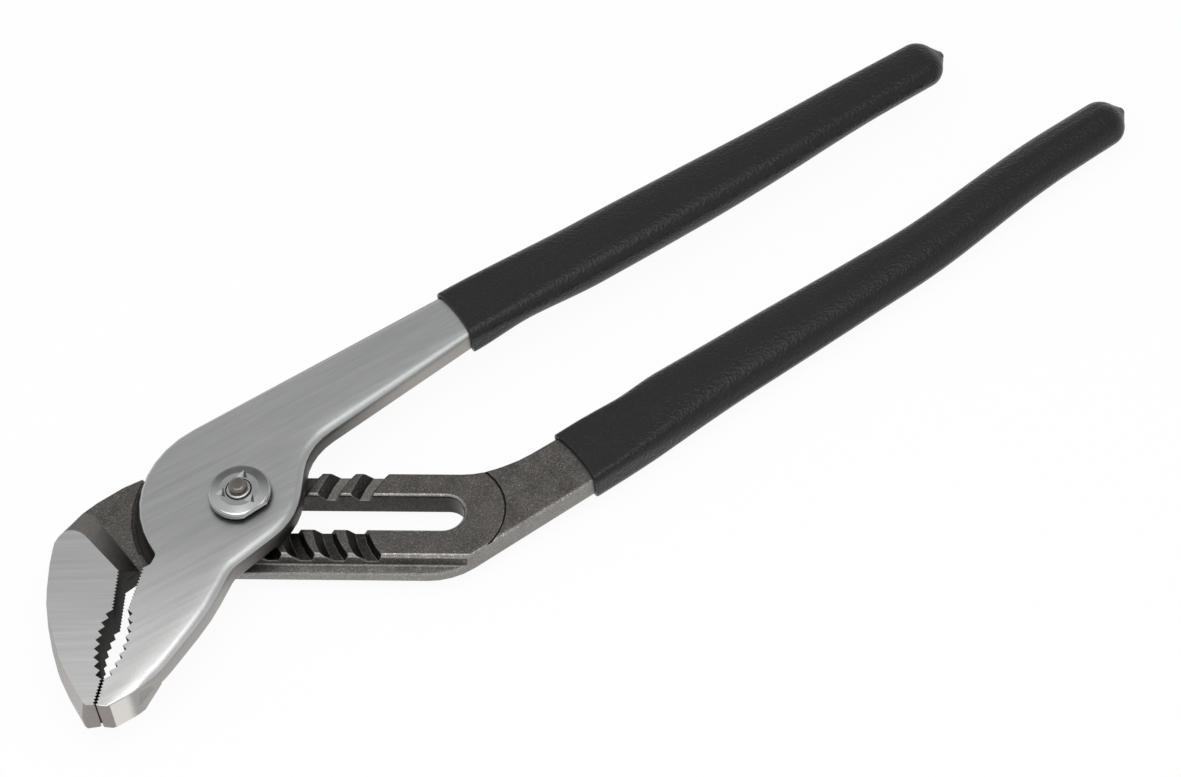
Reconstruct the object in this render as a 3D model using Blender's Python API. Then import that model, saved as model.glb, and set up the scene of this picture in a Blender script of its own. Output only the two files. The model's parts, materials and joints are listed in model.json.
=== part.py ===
"""Water pump pliers with a tongue and groove joint, built piece by piece.

Lengths are in millimetres and angles in degrees. The plan is drawn in the slot frame: the pivot
in its first seat is the origin, +X runs along the slot to the handles, +Y goes to the front
lever's handle, and Z = 0 is the front face of the front lever. Jaw points are measured from the
point of the neck's ring that faces the mouth, so the jaws keep their distance from the joint.
"""

import math
from dataclasses import dataclass

import bmesh
import bpy
from mathutils import Matrix, Vector

MM = 0.001
ROW_ANGLE = 41.5  # turn that lays the long axis of the pliers along +X
ARC_STEP = 10.0  # largest step along a drawn arc
ROUND_STEPS = 3  # facets across a rounded edge
SMOOTH_ANGLE = 34.0  # edges that turn more than this are shaded sharp
MITRE = 0.4  # limits the inset of a sharp outline corner
FIT_GAP = 0.3  # gap between pieces that touch on the real tool
SEAM = 0.06  # hairline step that keeps the faces of two joined solids apart
MERGE = 0.0001  # points closer than this become one

# Finishes: colour, metallic value and roughness
FORGED = ((0.10, 0.095, 0.09), 0.8, 0.55)
BRUSHED = ((0.55, 0.54, 0.52), 0.9, 0.4)
PLATED = ((0.55, 0.54, 0.52), 1.0, 0.28)
DIPPED = ((0.02, 0.02, 0.022), 0.0, 0.5)

# Lap joint
PLATE_THICKNESS = 6.1  # thickness of the front lever
LAP_GAP = 0.3  # running gap between the two levers
REAR_THICKNESS = 6.8  # thickness of the slotted lever at its lands
NECK_RAISE = 0.8  # the neck stands this much above the lands
HANDLE_RAISE = 0.2  # and the handle this much, inside the running gap
JAW_WIDTH = 9.4  # gripping width of both jaws

# Slot, seats and rails of the slotted lever
SEATS = 7
SEAT_PITCH = 8.25
SHANK_DIAMETER = 9.4  # diameter of the bolt in the slot
SLOT_ROUND = 0.9  # rounding of the slot's front rim
RAIL_TOP_HEIGHT = 11.7
RAIL_BOTTOM_HEIGHT = 16.2
RAIL_ROUND = 1.2  # rounding of the lower rail's back edge
RAIL_ROOTS = ((-7.7, -1.6), (-10.2, 25.6), (-12.7, 14.3))  # jaw points where the rails enter the neck
RAIL_HEEL = (-0.1, 4.0)  # place at the neck, as a jaw point, and fillet of the lower rail's corner
RAIL_CREST = (1.3, 30.0)  # and of the upper rail's
LOWER_BEND = (3.3, 18.0)  # place past the last seat and fillet of the bend to the handle
UPPER_BEND = (7.5, 20.0)
UPPER_KNEE = (17.0, 15.9, 30.0)
LAND_EDGE_HEIGHT = 12.0  # where the lands end above the ledge
LEDGE_ROUND = 1.0  # rounding of that edge
LEDGE_LEAN = 0.3  # lean of the ledge's wall
LEDGE_DEPTH = 3.4
LEDGE_START = 0.3  # jaw point's place
LEDGE_END = 8.2  # past the last seat
LEDGE_SLANT = 0.38  # slant of its end
STEP_RELIEF = (0.5, 0.3)  # width and depth of the run-out groove at the step before the handle

# Grooves and tongue, all concentric with their seat
GROOVE_RADIUS = 18.8  # inner edge of a groove at land level
GROOVE_WIDTH = 5.6
GROOVE_DEPTH = 2.2
GROOVE_INNER_RUN = 1.2  # lean of the inner wall
GROOVE_OUTER_RUN = 2.2  # lean of the outer wall
GROOVE_SWEEP = (128.0, 232.0)
TONGUE_GAP = 0.35
TONGUE_SWEEP = (170.0, 207.0)
TONGUE_ROOT = 1.0  # how deep the tongue is rooted in the plate

# Front lever, its edges as jaw points with fillets
BOSS_RIM = 1.0  # plate left outside the groove ring
BOSS_RIGHT = 14.9  # reach of the boss on the handle side
BOSS_LOW = (-6.2, 18.0)  # height and fillet of its lower corner there
BOSS_HIGH = (15.5, 16.0)  # and of its upper one
BOSS_END = 214.0  # direction in which the boss turns into the notch
PLATE_ROUND = 1.5  # rounding of its edges
LONG_ROUND = 2.3  # and of the front edge from the jaw round the boss to the handle
TIP_ROUND = 0.6  # and of those near the jaw's tip
FRONT_NOSE = ((-7.3, -42.4), (-5.1, -42.6))
FRONT_EDGE = (
    (-4.3, -42.3, 0.0),
    (0.9, -38.6, 14.0),
    (6.9, -31.3, 30.0),
    (16.0, -14.3, 60.0),
    (19.9, -2.0, 6.0),
)
NOTCH = ((0.6, 1.7, 1.6), (-0.3, -1.1, 1.2))  # corners between the boss and the mouth
BLOCK_CORNER = -33.7  # the jaw is full width below this height on its outer side
BLOCK_HEEL = (4.9, -29.7)
BLOCK_DROP = 2.4  # and from this far below the throat on its mouth side

# Slotted lever's neck and jaw, as jaw points
JAW_BEARING = 225.0  # direction of the point that the jaws are drawn from
NECK_GAP = 1.9  # clear ring between the boss and the raised neck
NECK_LEAN = 0.9  # lean of the neck's step
NECK_SWEEP = (219.0, 162.0)
NECK_TOP = (-11.9, 25.5)
NECK_BEND = ((-17.8, 20.8), (-25.3, 14.3), (-25.3, 7.3))  # outer corner: start, corner, end
SLOPE_FOOT = ((-4.1, 0.4), (-16.9, 15.9))  # where the slope up to the jaw leaves the neck
SLOPE_FOOT_END = ((-18.0, 17.0), (-19.3, 17.6))
SLOPE_CREST = ((-7.8, -3.4), (-17.9, 7.2))  # and where it reaches the jaw's face
CREST_BEND = ((-19.1, 8.0), (-23.3, 10.4), (-25.1, 4.7))
CORNER_STEPS = 5  # facets round that corner
JAW_EDGE = ((-25.2, 2.8, 0.0), (-25.4, -8.9, 45.0), (-19.2, -28.9, 45.0), (-10.9, -41.7, 0.0))
JAW_LEAN = (1.2, 0.5)  # the jaw's outer side runs out this much towards the back
REAR_NOSE = ((-10.1, -42.3), (-8.6, -42.3))
BACK_SLOPE = (-3.5, 2.2)  # hidden slope from neck to jaw, measured from the front slope's foot

# Mouth, as jaw points on the tips' closing line
MOUTH_GAP = 0.36
TIP_TOP = (-7.2, -34.9)
TIP_END = (-7.9, -42.0)
REAR_THROAT = (-7.65, -3.3)
REAR_COARSE = (-7.45, -14.6)
FRONT_THROAT = (-2.1, -2.5)
FRONT_COARSE = (-4.0, -14.6)
COARSE_TEETH = 8
COARSE_DEPTH = 1.3
COARSE_LEAN = 0.68  # place of a valley on the way to the next tooth tip
COARSE_BOW = 1.9  # hollow of the pipe grip
FINE_PITCH = 0.66
FINE_DEPTH = 0.35
FINE_LEAN = 0.5  # place of a fine valley on the way to the next tip

# Handles and grips
FRONT_GRIP_AT = (47.0, 55.9)
FRONT_ANGLE = 36.4
FRONT_GRIP_LENGTH = 147.0  # length of the sleeve
FRONT_WIDTHS = (17.9, 13.4)  # width of the sleeve at its rim and its end
FRONT_SWEEP = 0.8  # sideways bend of the handle near its end
REAR_GRIP_AT = (30.5, 16.8)  # from the last seat
REAR_ANGLE = 39.7
REAR_GRIP_LENGTH = 173.5
REAR_WIDTHS = (17.5, 13.0)
REAR_SWEEP = 3.6
REAR_ROUND = 0.7  # front edge rounding of the slotted lever's handle
REAR_BACK_ROUND = 2.6  # and of its back edge
REAR_FLARE = 1.3  # how much wider its lower side starts
REAR_SWELL = 1.3  # swell of its upper side behind the rim
SWEEP_SPAN = (0.58, 0.88)  # the bend, as shares of the sleeve's length
TAPER_SPAN = (0.22, 1.04)
FRONT_SPAN = (0.02, 0.3)  # stretch in which the front edges turn round
BACK_SPAN = (0.0, 0.12)  # and the back edges
SWELL_RISE = (0.1, 0.18)
SWELL_FALL = (0.2, 0.6)
FRONT_ENDS = (0.36, 0.62)  # front and back rounding near the end, as shares of the steel's thickness
REAR_ENDS = (0.68, 0.3)  # the edges that face the other handle are the rounder ones
CORE_STATIONS = 14
CAP_STEPS = 6
GRIP_WALL = 0.9
GRIP_END_LENGTH = 7.0  # solid end of a sleeve past the steel
GRIP_BOW = 0.7  # hollow of the rim
GRIP_LIP = 0.4  # rounding of the rim
PIP_RADIUS = 1.7  # dip drop at a sleeve's end
PIP_LENGTH = 1.3

# Bolt and nut
THREAD_DIAMETER = 6.0
HEAD_DIAMETER = 15.6  # diameter of the bolt head
HEAD_HEIGHT = 2.9
HEAD_ROUND = 1.5
BOLT_BEAD = 0.45  # rounded bead at the thread's end, above the nut
BOLT_TIP_DIAMETER = 4.7  # diameter of the turned-down end
BOLT_END_LENGTH = 2.3  # how far the end stands above the nut's face
BOLT_EDGE = 1.0  # rounding of the end
BOLT_DIMPLE = (0.7, 0.35)  # radius and depth of the dimple in it
BOLT_SHOULDER = 1.4  # depth of the thread's start below the front face
NUT_DIAMETER = 15.6
NUT_HEIGHT = 2.2
NUT_ROUND = 0.8
NUT_DISH_DIAMETER = 10.0  # diameter of the flat middle of its face
NUT_CONE_HEIGHT = 0.35  # and how far that stands above the rim
NUT_FLAT_DEPTH = 0.8  # depth of the flat cut into the rim
NUT_FLAT_ANGLE = -50.0
STAKES = (84.0, 196.0, 319.0)  # directions of the punched marks
STAKE_OFFSET = 0.55  # distance of their base from the thread
STAKE_WIDTH = 2.8
STAKE_LENGTH = 2.5
STAKE_DEPTH = 0.75
STAKE_FLOOR = 0.12  # size of a mark's bottom against its mouth

LAND = -PLATE_THICKNESS - LAP_GAP
BACK = LAND - REAR_THICKNESS
NECK = LAND + NECK_RAISE
HANDLE = LAND + HANDLE_RAISE
LAST = (SEATS - 1) * SEAT_PITCH
BORE = SHANK_DIAMETER / 2 + FIT_GAP
GROOVE_OUTER = GROOVE_RADIUS + GROOVE_WIDTH
BOSS = GROOVE_OUTER + BOSS_RIM
NECK_RING = BOSS + NECK_GAP
GRIP_SKIN = GRIP_WALL + FIT_GAP
NUT_TOP = FIT_GAP + NUT_HEIGHT
NUT_FACE = NUT_TOP + NUT_CONE_HEIGHT
REACH = 4 * BOSS_RIGHT  # how far a cutter runs past what it cuts


def polar(radius, angle, centre=(0.0, 0.0)):
    turn = math.radians(angle)
    return centre[0] + radius * math.cos(turn), centre[1] + radius * math.sin(turn)


def arc(radius, start, end, centre=(0.0, 0.0)):
    count = max(1, math.ceil(abs(end - start) / ARC_STEP))
    return [polar(radius, start + (end - start) * k / count, centre) for k in range(count + 1)]


def mix(a, b, share):
    return tuple(p + (q - p) * share for p, q in zip(a, b))


def bend(start, corner, end, count):
    """A smooth curve from start to end that leans towards a corner."""
    shares = [k / count for k in range(count + 1)]
    return [mix(mix(start, corner, t), mix(corner, end, t), t) for t in shares]


def smooth(value, low, high):
    share = min(1.0, max(0.0, (value - low) / (high - low)))
    return share * share * (3 - 2 * share)


def rim(radius):
    """(inset, depth) steps of a rounded edge, from its wall up to its face."""
    angles = [math.radians(90 * k / ROUND_STEPS) for k in range(ROUND_STEPS + 1)]
    return [(radius * (1 - math.cos(a)), radius * (1 - math.sin(a))) for a in angles]


def jaw(*points):
    """Jaw points, each (x, y) with anything that follows it, in the slot frame."""
    x, y = polar(NECK_RING, JAW_BEARING)
    return [(x + p[0], y + p[1], *p[2:]) for p in points]


def rounded(corners):
    """The open line through (x, y, radius) corners, each inner one filleted as far as it has room."""
    points = [Vector(corner[:2]) for corner in corners]
    lengths = [0.0]
    for before, at, after, corner in zip(points, points[1:], points[2:], corners[1:]):
        lengths.append(corner[2] / math.tan((before - at).angle(after - at) / 2))
    lengths.append(0.0)
    line = [tuple(points[0])]
    for k in range(1, len(points) - 1):
        back, ahead = points[k - 1] - points[k], points[k + 1] - points[k]
        half = back.angle(ahead) / 2
        before = back.length / (lengths[k - 1] + lengths[k])
        after = ahead.length / (lengths[k] + lengths[k + 1])
        share = min(1.0, before, after)
        back.normalize()
        ahead.normalize()
        centre = points[k] + (back + ahead).normalized() * share * corners[k][2] / math.sin(half)
        first = points[k] + back * lengths[k] * share - centre
        turn = first.angle_signed(points[k] + ahead * lengths[k] * share - centre)
        count = max(1, math.ceil(abs(math.degrees(turn)) / ARC_STEP))
        for step in range(count + 1):
            spoke = first.copy()
            spoke.rotate(Matrix.Rotation(-turn * step / count, 2))
            line.append(tuple(centre + spoke))
    line.append(tuple(points[-1]))
    return line


def teeth(start, end, count, depth, lean, bow=0.0):
    """Tooth tips and valleys from start up to, and without, end. Steel is on the left."""
    along = Vector(end) - Vector(start)
    inward = Vector((-along.y, along.x)).normalized()

    def place(share, deeper):
        return tuple(Vector(start) + along * share + inward * (4 * bow * share * (1 - share) + deeper))

    line = []
    for k in range(count):
        line += [place(k / count, 0.0), place((k + lean) / count, depth)]
    return line


def serrations(start, end):
    count = max(2, round(math.dist(start, end) / FINE_PITCH))
    return teeth(start, end, count, FINE_DEPTH, FINE_LEAN)


def edged(points, front, back=None):
    """Outline points with the rounding of their front and back edges."""
    return [(*p, front, front if back is None else back) for p in points]


@dataclass
class Handle:
    """Centre line and sections of a handle: s runs from the sleeve's rim to its end."""

    at: tuple
    angle: float
    length: float
    widths: tuple
    sweep: float
    low: float
    high: float
    edges: tuple
    ends: tuple
    flare: float = 0.0
    swell: float = 0.0

    @property
    def core(self):
        return self.length - GRIP_END_LENGTH

    def sides(self, s, grow):
        """Offsets of the lower and the upper side of the steel, grown by a wall or a gap."""
        share = s / self.length
        taper = smooth(share, *TAPER_SPAN)
        half = (self.widths[0] + (self.widths[1] - self.widths[0]) * taper) / 2 - GRIP_SKIN + grow
        flare = self.flare * (1 - smooth(share, *FRONT_SPAN))
        swell = self.swell * smooth(share, *SWELL_RISE) * (1 - smooth(share, *SWELL_FALL))
        return -half - flare, half + swell

    def rounds(self, s):
        """Rounding of the steel's front and back edges."""
        ends = [share * (self.high - self.low) for share in self.ends]
        turns = [smooth(s / self.length, *span) for span in (FRONT_SPAN, BACK_SPAN)]
        return [start + (end - start) * turn for start, end, turn in zip(self.edges, ends, turns)]

    def place(self, s, offset):
        shift = self.sweep * smooth(s / self.length, *SWEEP_SPAN) + offset
        return polar(shift, self.angle + 90, polar(s, self.angle, self.at))

    def stations(self, end):
        return [end * k / CORE_STATIONS for k in range(CORE_STATIONS + 1)]

    def core_outline(self):
        """Edge of the steel, out along the lower side and back along the upper one."""
        lower, upper, cap = [], [], []
        end = self.core - self.sides(self.core, 0.0)[1]
        for s in self.stations(end):
            low, high = self.sides(s, 0.0)
            lower.append((*self.place(s, low), *self.rounds(s)))
            upper.append((*self.place(s, high), *self.rounds(s)))
        for k in range(1, CAP_STEPS):
            angle = math.radians(180 * k / CAP_STEPS - 90)
            s = end + high * math.cos(angle)
            cap.append((*self.place(s, high * math.sin(angle)), *self.rounds(s)))
        return lower + cap + upper[::-1]

    def loop(self, s, grow, shrink=1.0, bow=0.0):
        """One closed section: the steel's rounded rectangle, grown by a wall or a gap."""
        low, high = (side * shrink for side in self.sides(s, grow))
        middle = (self.low + self.high) / 2
        height = ((self.high - self.low) / 2 + grow) * shrink
        front, back = ((edge + grow) * shrink for edge in self.rounds(s))
        corners = ((high, 1, front), (low, 1, front), (low, -1, back), (high, -1, back))
        points = []
        for quarter, (side, up, edge) in enumerate(corners):
            inner = side - math.copysign(edge, side)
            for k in range(ROUND_STEPS + 1):
                angle = math.radians(90 * quarter + 90 * k / ROUND_STEPS)
                across = inner + edge * math.cos(angle)
                hollow = bow * (1 - (across / side) ** 2)
                z = middle + up * (height - edge) + edge * math.sin(angle)
                points.append((*self.place(s + hollow, across), z))
        return points


def new_object(name, bm):
    bmesh.ops.remove_doubles(bm, verts=bm.verts, dist=MERGE)
    bmesh.ops.dissolve_degenerate(bm, edges=bm.edges, dist=MERGE)
    bmesh.ops.recalc_face_normals(bm, faces=bm.faces)
    mesh = bpy.data.meshes.new(name)
    bm.to_mesh(mesh)
    bm.free()
    made = bpy.data.objects.new(name, mesh)
    bpy.context.scene.collection.objects.link(made)
    return made


def loft(name, loops):
    """A closed solid through loops of equally many (x, y, z) points."""
    bm = bmesh.new()
    rings = [[bm.verts.new(p) for p in loop] for loop in loops]
    for low, high in zip(rings, rings[1:]):
        for k in range(len(low)):
            n = (k + 1) % len(low)
            bm.faces.new((low[k], low[n], high[n], high[k]))
    bm.faces.new(rings[0][::-1])
    bm.faces.new(rings[-1])
    return new_object(name, bm)


def insets(outline):
    """The inward step of each outline point, sized so that both its edges move in by one."""
    steps = []
    for k, point in enumerate(outline):
        here = Vector(point[:2])
        before = (here - Vector(outline[k - 1][:2])).normalized()
        after = (Vector(outline[(k + 1) % len(outline)][:2]) - here).normalized()
        first = Vector((-before.y, before.x))
        second = Vector((-after.y, after.x))
        steps.append((first + second) / max(MITRE, 1 + first.dot(second)))
    return steps


def slab(name, outline, low, high):
    """An outline of (x, y, front rounding, back rounding) points raised from low to high."""
    steps = insets(outline)

    def ring(side, level, sign, inset, depth):
        points = []
        for point, step in zip(outline, steps):
            moved = Vector(point[:2]) + step * point[side] * inset
            points.append((*moved, level + sign * point[side] * depth))
        return points

    back = [ring(3, low, 1, *step) for step in rim(1.0)[::-1]]
    front = [ring(2, high, -1, *step) for step in rim(1.0)]
    return loft(name, back + front)


def prism(name, levels):
    """A solid through (z, plan outline) levels."""
    return loft(name, [[(*p, z) for p in outline] for z, outline in levels])


def turned(name, profile, centre=(0.0, 0.0), sweep=(0.0, 360.0)):
    """A closed (radius, z) profile turned about an upright axis."""
    whole = sweep[1] - sweep[0] >= 360.0
    bm = bmesh.new()
    rings = []
    for at in zip(*[arc(r, *sweep, centre) for r, z in profile]):
        rings.append([bm.verts.new((*p, z)) for p, (r, z) in zip(at, profile)])
    for here, there in zip(rings, rings[1:]):
        for k in range(len(profile)):
            n = (k + 1) % len(profile)
            bm.faces.new((here[k], here[n], there[n], there[k]))
    if not whole:
        bm.faces.new(rings[0])
        bm.faces.new(rings[-1][::-1])
    return new_object(name, bm)


def combine(body, operation, tool):
    """Joins or cuts with an exact Boolean, then drops the tool."""
    step = body.modifiers.new(operation.lower(), "BOOLEAN")
    step.operation = operation
    step.solver = "EXACT"
    step.object = tool
    bpy.context.view_layer.update()
    shaped = bpy.data.meshes.new_from_object(body.evaluated_get(bpy.context.evaluated_depsgraph_get()))
    body.modifiers.clear()
    body.data = shaped
    bpy.data.objects.remove(tool)


def front_mouth():
    throat, coarse, top, end = jaw(FRONT_THROAT, FRONT_COARSE, TIP_TOP, TIP_END)
    top, end = [(x + MOUTH_GAP / 2, y) for x, y in (top, end)]
    grip = teeth(coarse, top, COARSE_TEETH, COARSE_DEPTH, COARSE_LEAN, COARSE_BOW)
    return serrations(throat, coarse) + grip + serrations(top, end) + [end]


def rear_mouth():
    throat, coarse, top, end = jaw(REAR_THROAT, REAR_COARSE, TIP_TOP, TIP_END)
    top, end = [(x - MOUTH_GAP / 2, y) for x, y in (top, end)]
    grip = teeth(top, coarse, COARSE_TEETH, COARSE_DEPTH, 1 - COARSE_LEAN, COARSE_BOW)
    return serrations(end, top) + grip + serrations(coarse, throat) + [throat]


def front_edge(core):
    """Outer edge of the front lever from its tip to its handle, as two stretches: jaw and rest."""
    boss = [(BOSS_RIGHT, *BOSS_LOW), (BOSS_RIGHT, *BOSS_HIGH)]
    line = rounded(jaw(*FRONT_EDGE) + boss + [(*core[0][:2], 0.0)])[:-1]
    corner = jaw((0.0, BLOCK_CORNER))[0][1]
    return [p for p in line if p[1] < corner], [p for p in line if p[1] >= corner]


def front_plate(core, tip_edge, long_edge):
    """The flat lever: jaw, boss, shank and the handle's steel."""
    shank = Vector(core[-1][:2])
    tangent = math.degrees(math.atan2(shank.y, shank.x) + math.acos(BOSS / shank.length))
    boss = arc(BOSS, tangent, BOSS_END)
    notch = rounded([(*boss[-1], 0.0), *jaw(*NOTCH, (*FRONT_THROAT, 0.0))])[1:-1]
    outline = edged(jaw(*FRONT_NOSE), TIP_ROUND / 2, 0.0) + edged(tip_edge, TIP_ROUND, 0.0)
    outline += edged(long_edge, LONG_ROUND, PLATE_ROUND) + core
    outline += edged(boss[:-1], PLATE_ROUND, 0.0) + edged(boss[-1:], TIP_ROUND, 0.0)
    outline += edged(notch, TIP_ROUND / 2, 0.0) + edged(front_mouth(), 0.0)
    return slab("front_lever", outline, -PLATE_THICKNESS, 0.0)


def jaw_block(tip_edge):
    """The part of the jaw that goes on behind the plate, to the full gripping width."""
    top = jaw(FRONT_THROAT)[0][1] - BLOCK_DROP
    mouth = [(x + SEAM, y) for x, y in front_mouth() if y < top]
    block = [(x - SEAM, y + SEAM) for x, y in jaw(*FRONT_NOSE) + tip_edge]
    block += jaw(BLOCK_HEEL) + [(mouth[0][0] + BLOCK_DROP, mouth[0][1])] + mouth
    return prism("jaw_block", [(-JAW_WIDTH, block), (TONGUE_ROOT - PLATE_THICKNESS, block)])


def tongue():
    """The arc on the plate's back that sits in a groove."""
    end = LAND - GROOVE_DEPTH + TONGUE_GAP
    share = (LAND - end) / GROOVE_DEPTH
    inner = GROOVE_RADIUS + TONGUE_GAP
    outer = GROOVE_OUTER - TONGUE_GAP
    profile = [
        (inner, TONGUE_ROOT - PLATE_THICKNESS),
        (inner, LAND),
        (inner + GROOVE_INNER_RUN * share, end),
        (outer - GROOVE_OUTER_RUN * share, end),
        (outer, LAND),
        (outer, TONGUE_ROOT - PLATE_THICKNESS),
    ]
    return turned("tongue", profile, sweep=TONGUE_SWEEP)


def build_front_lever(handle):
    core = handle.core_outline()
    tip_edge, long_edge = front_edge(core)
    lever = front_plate(core, tip_edge, long_edge)
    combine(lever, "UNION", jaw_block(tip_edge))
    combine(lever, "UNION", tongue())
    hole = arc(BORE, 0, 360)[:-1]
    combine(lever, "DIFFERENCE", prism("hole", [(-REACH, hole), (REACH, hole)]))
    return lever


def neck_and_jaw():
    """The raised neck, the slope up to the jaw's face, and the jaw."""
    ring = arc(NECK_RING, *NECK_SWEEP)
    ring_top = arc(NECK_RING + NECK_LEAN, *NECK_SWEEP)
    shares = [k / (len(ring) - 1) for k in range(len(ring))]
    foot = [mix(*jaw(*SLOPE_FOOT), t) for t in shares]
    crest = [mix(*jaw(*SLOPE_CREST), t) for t in shares]
    neck_corner = jaw(NECK_TOP) + bend(*jaw(*NECK_BEND), CORNER_STEPS - 1)
    foot_corner = jaw(*SLOPE_FOOT_END) + neck_corner[len(SLOPE_FOOT_END):]
    crest_corner = bend(*jaw(*CREST_BEND), CORNER_STEPS)
    face_edge = rounded(jaw(*JAW_EDGE)) + jaw(REAR_NOSE[0])
    back_edge = [(x - JAW_LEAN[0], y - JAW_LEAN[1]) for x, y in face_edge]
    mouth = jaw(REAR_NOSE[1]) + rear_mouth()
    return prism("slotted_lever", [
        (BACK + SEAM, ring + neck_corner + back_edge + mouth),
        (LAND - SEAM, ring + neck_corner + back_edge + mouth),
        (NECK, ring_top + neck_corner + back_edge + mouth),
        (NECK, foot + foot_corner + back_edge + mouth),
        (0.0, crest + crest_corner + face_edge + mouth),
    ])


def rails(core):
    """The flat bar that the slot is cut in, with the handle's steel."""
    low_root, high_root, inner_root = jaw(*RAIL_ROOTS)
    heel, crest = jaw((RAIL_HEEL[0], 0.0), (RAIL_CREST[0], 0.0))
    lower = rounded([
        (*low_root, 0.0),
        (heel[0], -RAIL_BOTTOM_HEIGHT, RAIL_HEEL[1]),
        (LAST + LOWER_BEND[0], -RAIL_BOTTOM_HEIGHT, LOWER_BEND[1]),
        (*core[0][:2], 0.0),
    ])[:-1]
    upper = rounded([
        (*core[-1][:2], 0.0),
        (LAST + UPPER_KNEE[0], *UPPER_KNEE[1:]),
        (LAST + UPPER_BEND[0], RAIL_TOP_HEIGHT, UPPER_BEND[1]),
        (crest[0], RAIL_TOP_HEIGHT, RAIL_CREST[1]),
        (*high_root, 0.0),
    ])[1:]
    outline = edged(lower, REAR_ROUND, RAIL_ROUND) + core
    outline += edged(upper, REAR_ROUND) + edged([inner_root], 0.0)
    return slab("rails", outline, BACK, HANDLE)


def back_slope():
    """Cutter for the hidden face from the neck's back up to the jaw's own back."""
    start, end = (Vector(p) for p in jaw(*SLOPE_FOOT))
    along = (end - start).normalized()
    out = Vector((-along.y, along.x))
    low = BACK - REACH
    section = [(BACK_SLOPE[0], low), (BACK_SLOPE[0], BACK), (BACK_SLOPE[1], -JAW_WIDTH)]
    section += [(REACH, -JAW_WIDTH), (REACH, low)]
    sides = (start - along * REACH, start + along * REACH)
    return loft("back_slope", [[(*(side + out * d), z) for d, z in section] for side in sides])


def recess():
    """Cutter for the sunk lands between the neck's ring and the step before the handle."""
    outline = arc(NECK_RING - FIT_GAP, 90, 270) + arc(BOSS_RIGHT + 2 * FIT_GAP, -90, 90, (LAST, 0.0))
    return prism("recess", [(LAND, outline), (REACH, outline)])


def step_relief():
    """Cutter for the run-out groove at that step's foot."""
    outer = BOSS_RIGHT + 2 * FIT_GAP
    inner = outer - STEP_RELIEF[0]
    floor = LAND - STEP_RELIEF[1]
    return turned("step_relief", [(inner, REACH), (inner, floor), (outer, floor), (outer, REACH)],
                  (LAST, 0.0), (-90.0, 90.0))


def slot():
    """Cutter for the slot that the bolt slides in, with a rounded front rim."""

    def obround(half):
        return arc(half, 90, 270) + arc(half, -90, 90, (LAST, 0.0))

    levels = [(LAND + SEAM - depth, obround(BORE + inset)) for inset, depth in rim(SLOT_ROUND)]
    return prism("slot", [(-REACH, obround(BORE))] + levels + [(REACH, obround(BORE + SLOT_ROUND))])


def groove(seat):
    """Cutter for one arc groove round its seat."""
    profile = [
        (GROOVE_RADIUS, REACH),
        (GROOVE_RADIUS, LAND),
        (GROOVE_RADIUS + GROOVE_INNER_RUN, LAND - GROOVE_DEPTH),
        (GROOVE_OUTER - GROOVE_OUTER_RUN, LAND - GROOVE_DEPTH),
        (GROOVE_OUTER, LAND),
        (GROOVE_OUTER, REACH),
    ]
    return turned("groove", profile, (seat * SEAT_PITCH, 0.0), GROOVE_SWEEP)


def ledge():
    """Cutter for the sunk ledge below the lands."""
    start = jaw((LEDGE_START, 0.0))[0][0]

    def outline(edge):
        end = LAST + LEDGE_END
        return [(start, -REACH), (end - LEDGE_SLANT * (REACH - edge), -REACH), (end, -edge), (start, -edge)]

    wall = LAND_EDGE_HEIGHT + LEDGE_ROUND
    levels = [(LAND + SEAM - depth, outline(wall - inset)) for inset, depth in rim(LEDGE_ROUND)]
    floor = (LAND - LEDGE_DEPTH, outline(wall + LEDGE_LEAN))
    return prism("ledge", [floor] + levels + [(REACH, outline(LAND_EDGE_HEIGHT))])


def build_slotted_lever(handle):
    lever = neck_and_jaw()
    combine(lever, "UNION", rails(handle.core_outline()))
    combine(lever, "DIFFERENCE", back_slope())
    combine(lever, "DIFFERENCE", recess())
    combine(lever, "DIFFERENCE", step_relief())
    combine(lever, "DIFFERENCE", slot())
    for seat in range(SEATS):
        combine(lever, "DIFFERENCE", groove(seat))
    combine(lever, "DIFFERENCE", ledge())
    return lever


def build_grip(name, handle):
    """A dipped sleeve: outer skin, rounded end with a drop, and the blind bore for the steel."""
    bore = handle.stations(handle.core + FIT_GAP)
    loops = [handle.loop(s, FIT_GAP) for s in bore[:0:-1]]
    loops.append(handle.loop(0.0, FIT_GAP, bow=GRIP_BOW))
    loops.append(handle.loop(0.0, GRIP_SKIN - GRIP_LIP, bow=GRIP_BOW))
    loops.append(handle.loop(GRIP_LIP, GRIP_SKIN, bow=GRIP_BOW))
    loops += [handle.loop(s, GRIP_SKIN) for s in handle.stations(handle.core)[1:]]
    reach = GRIP_END_LENGTH - PIP_LENGTH
    for k in range(1, CAP_STEPS):
        angle = math.radians(90 * k / CAP_STEPS)
        loops.append(handle.loop(handle.core + reach * math.sin(angle), GRIP_SKIN, math.cos(angle)))
    slim = PIP_RADIUS / handle.sides(handle.core, GRIP_SKIN)[1]
    loops.append(handle.loop(handle.length - PIP_LENGTH, GRIP_SKIN, slim))
    loops.append(handle.loop(handle.length, GRIP_SKIN, slim / 2))
    return loft(name, loops)


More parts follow.
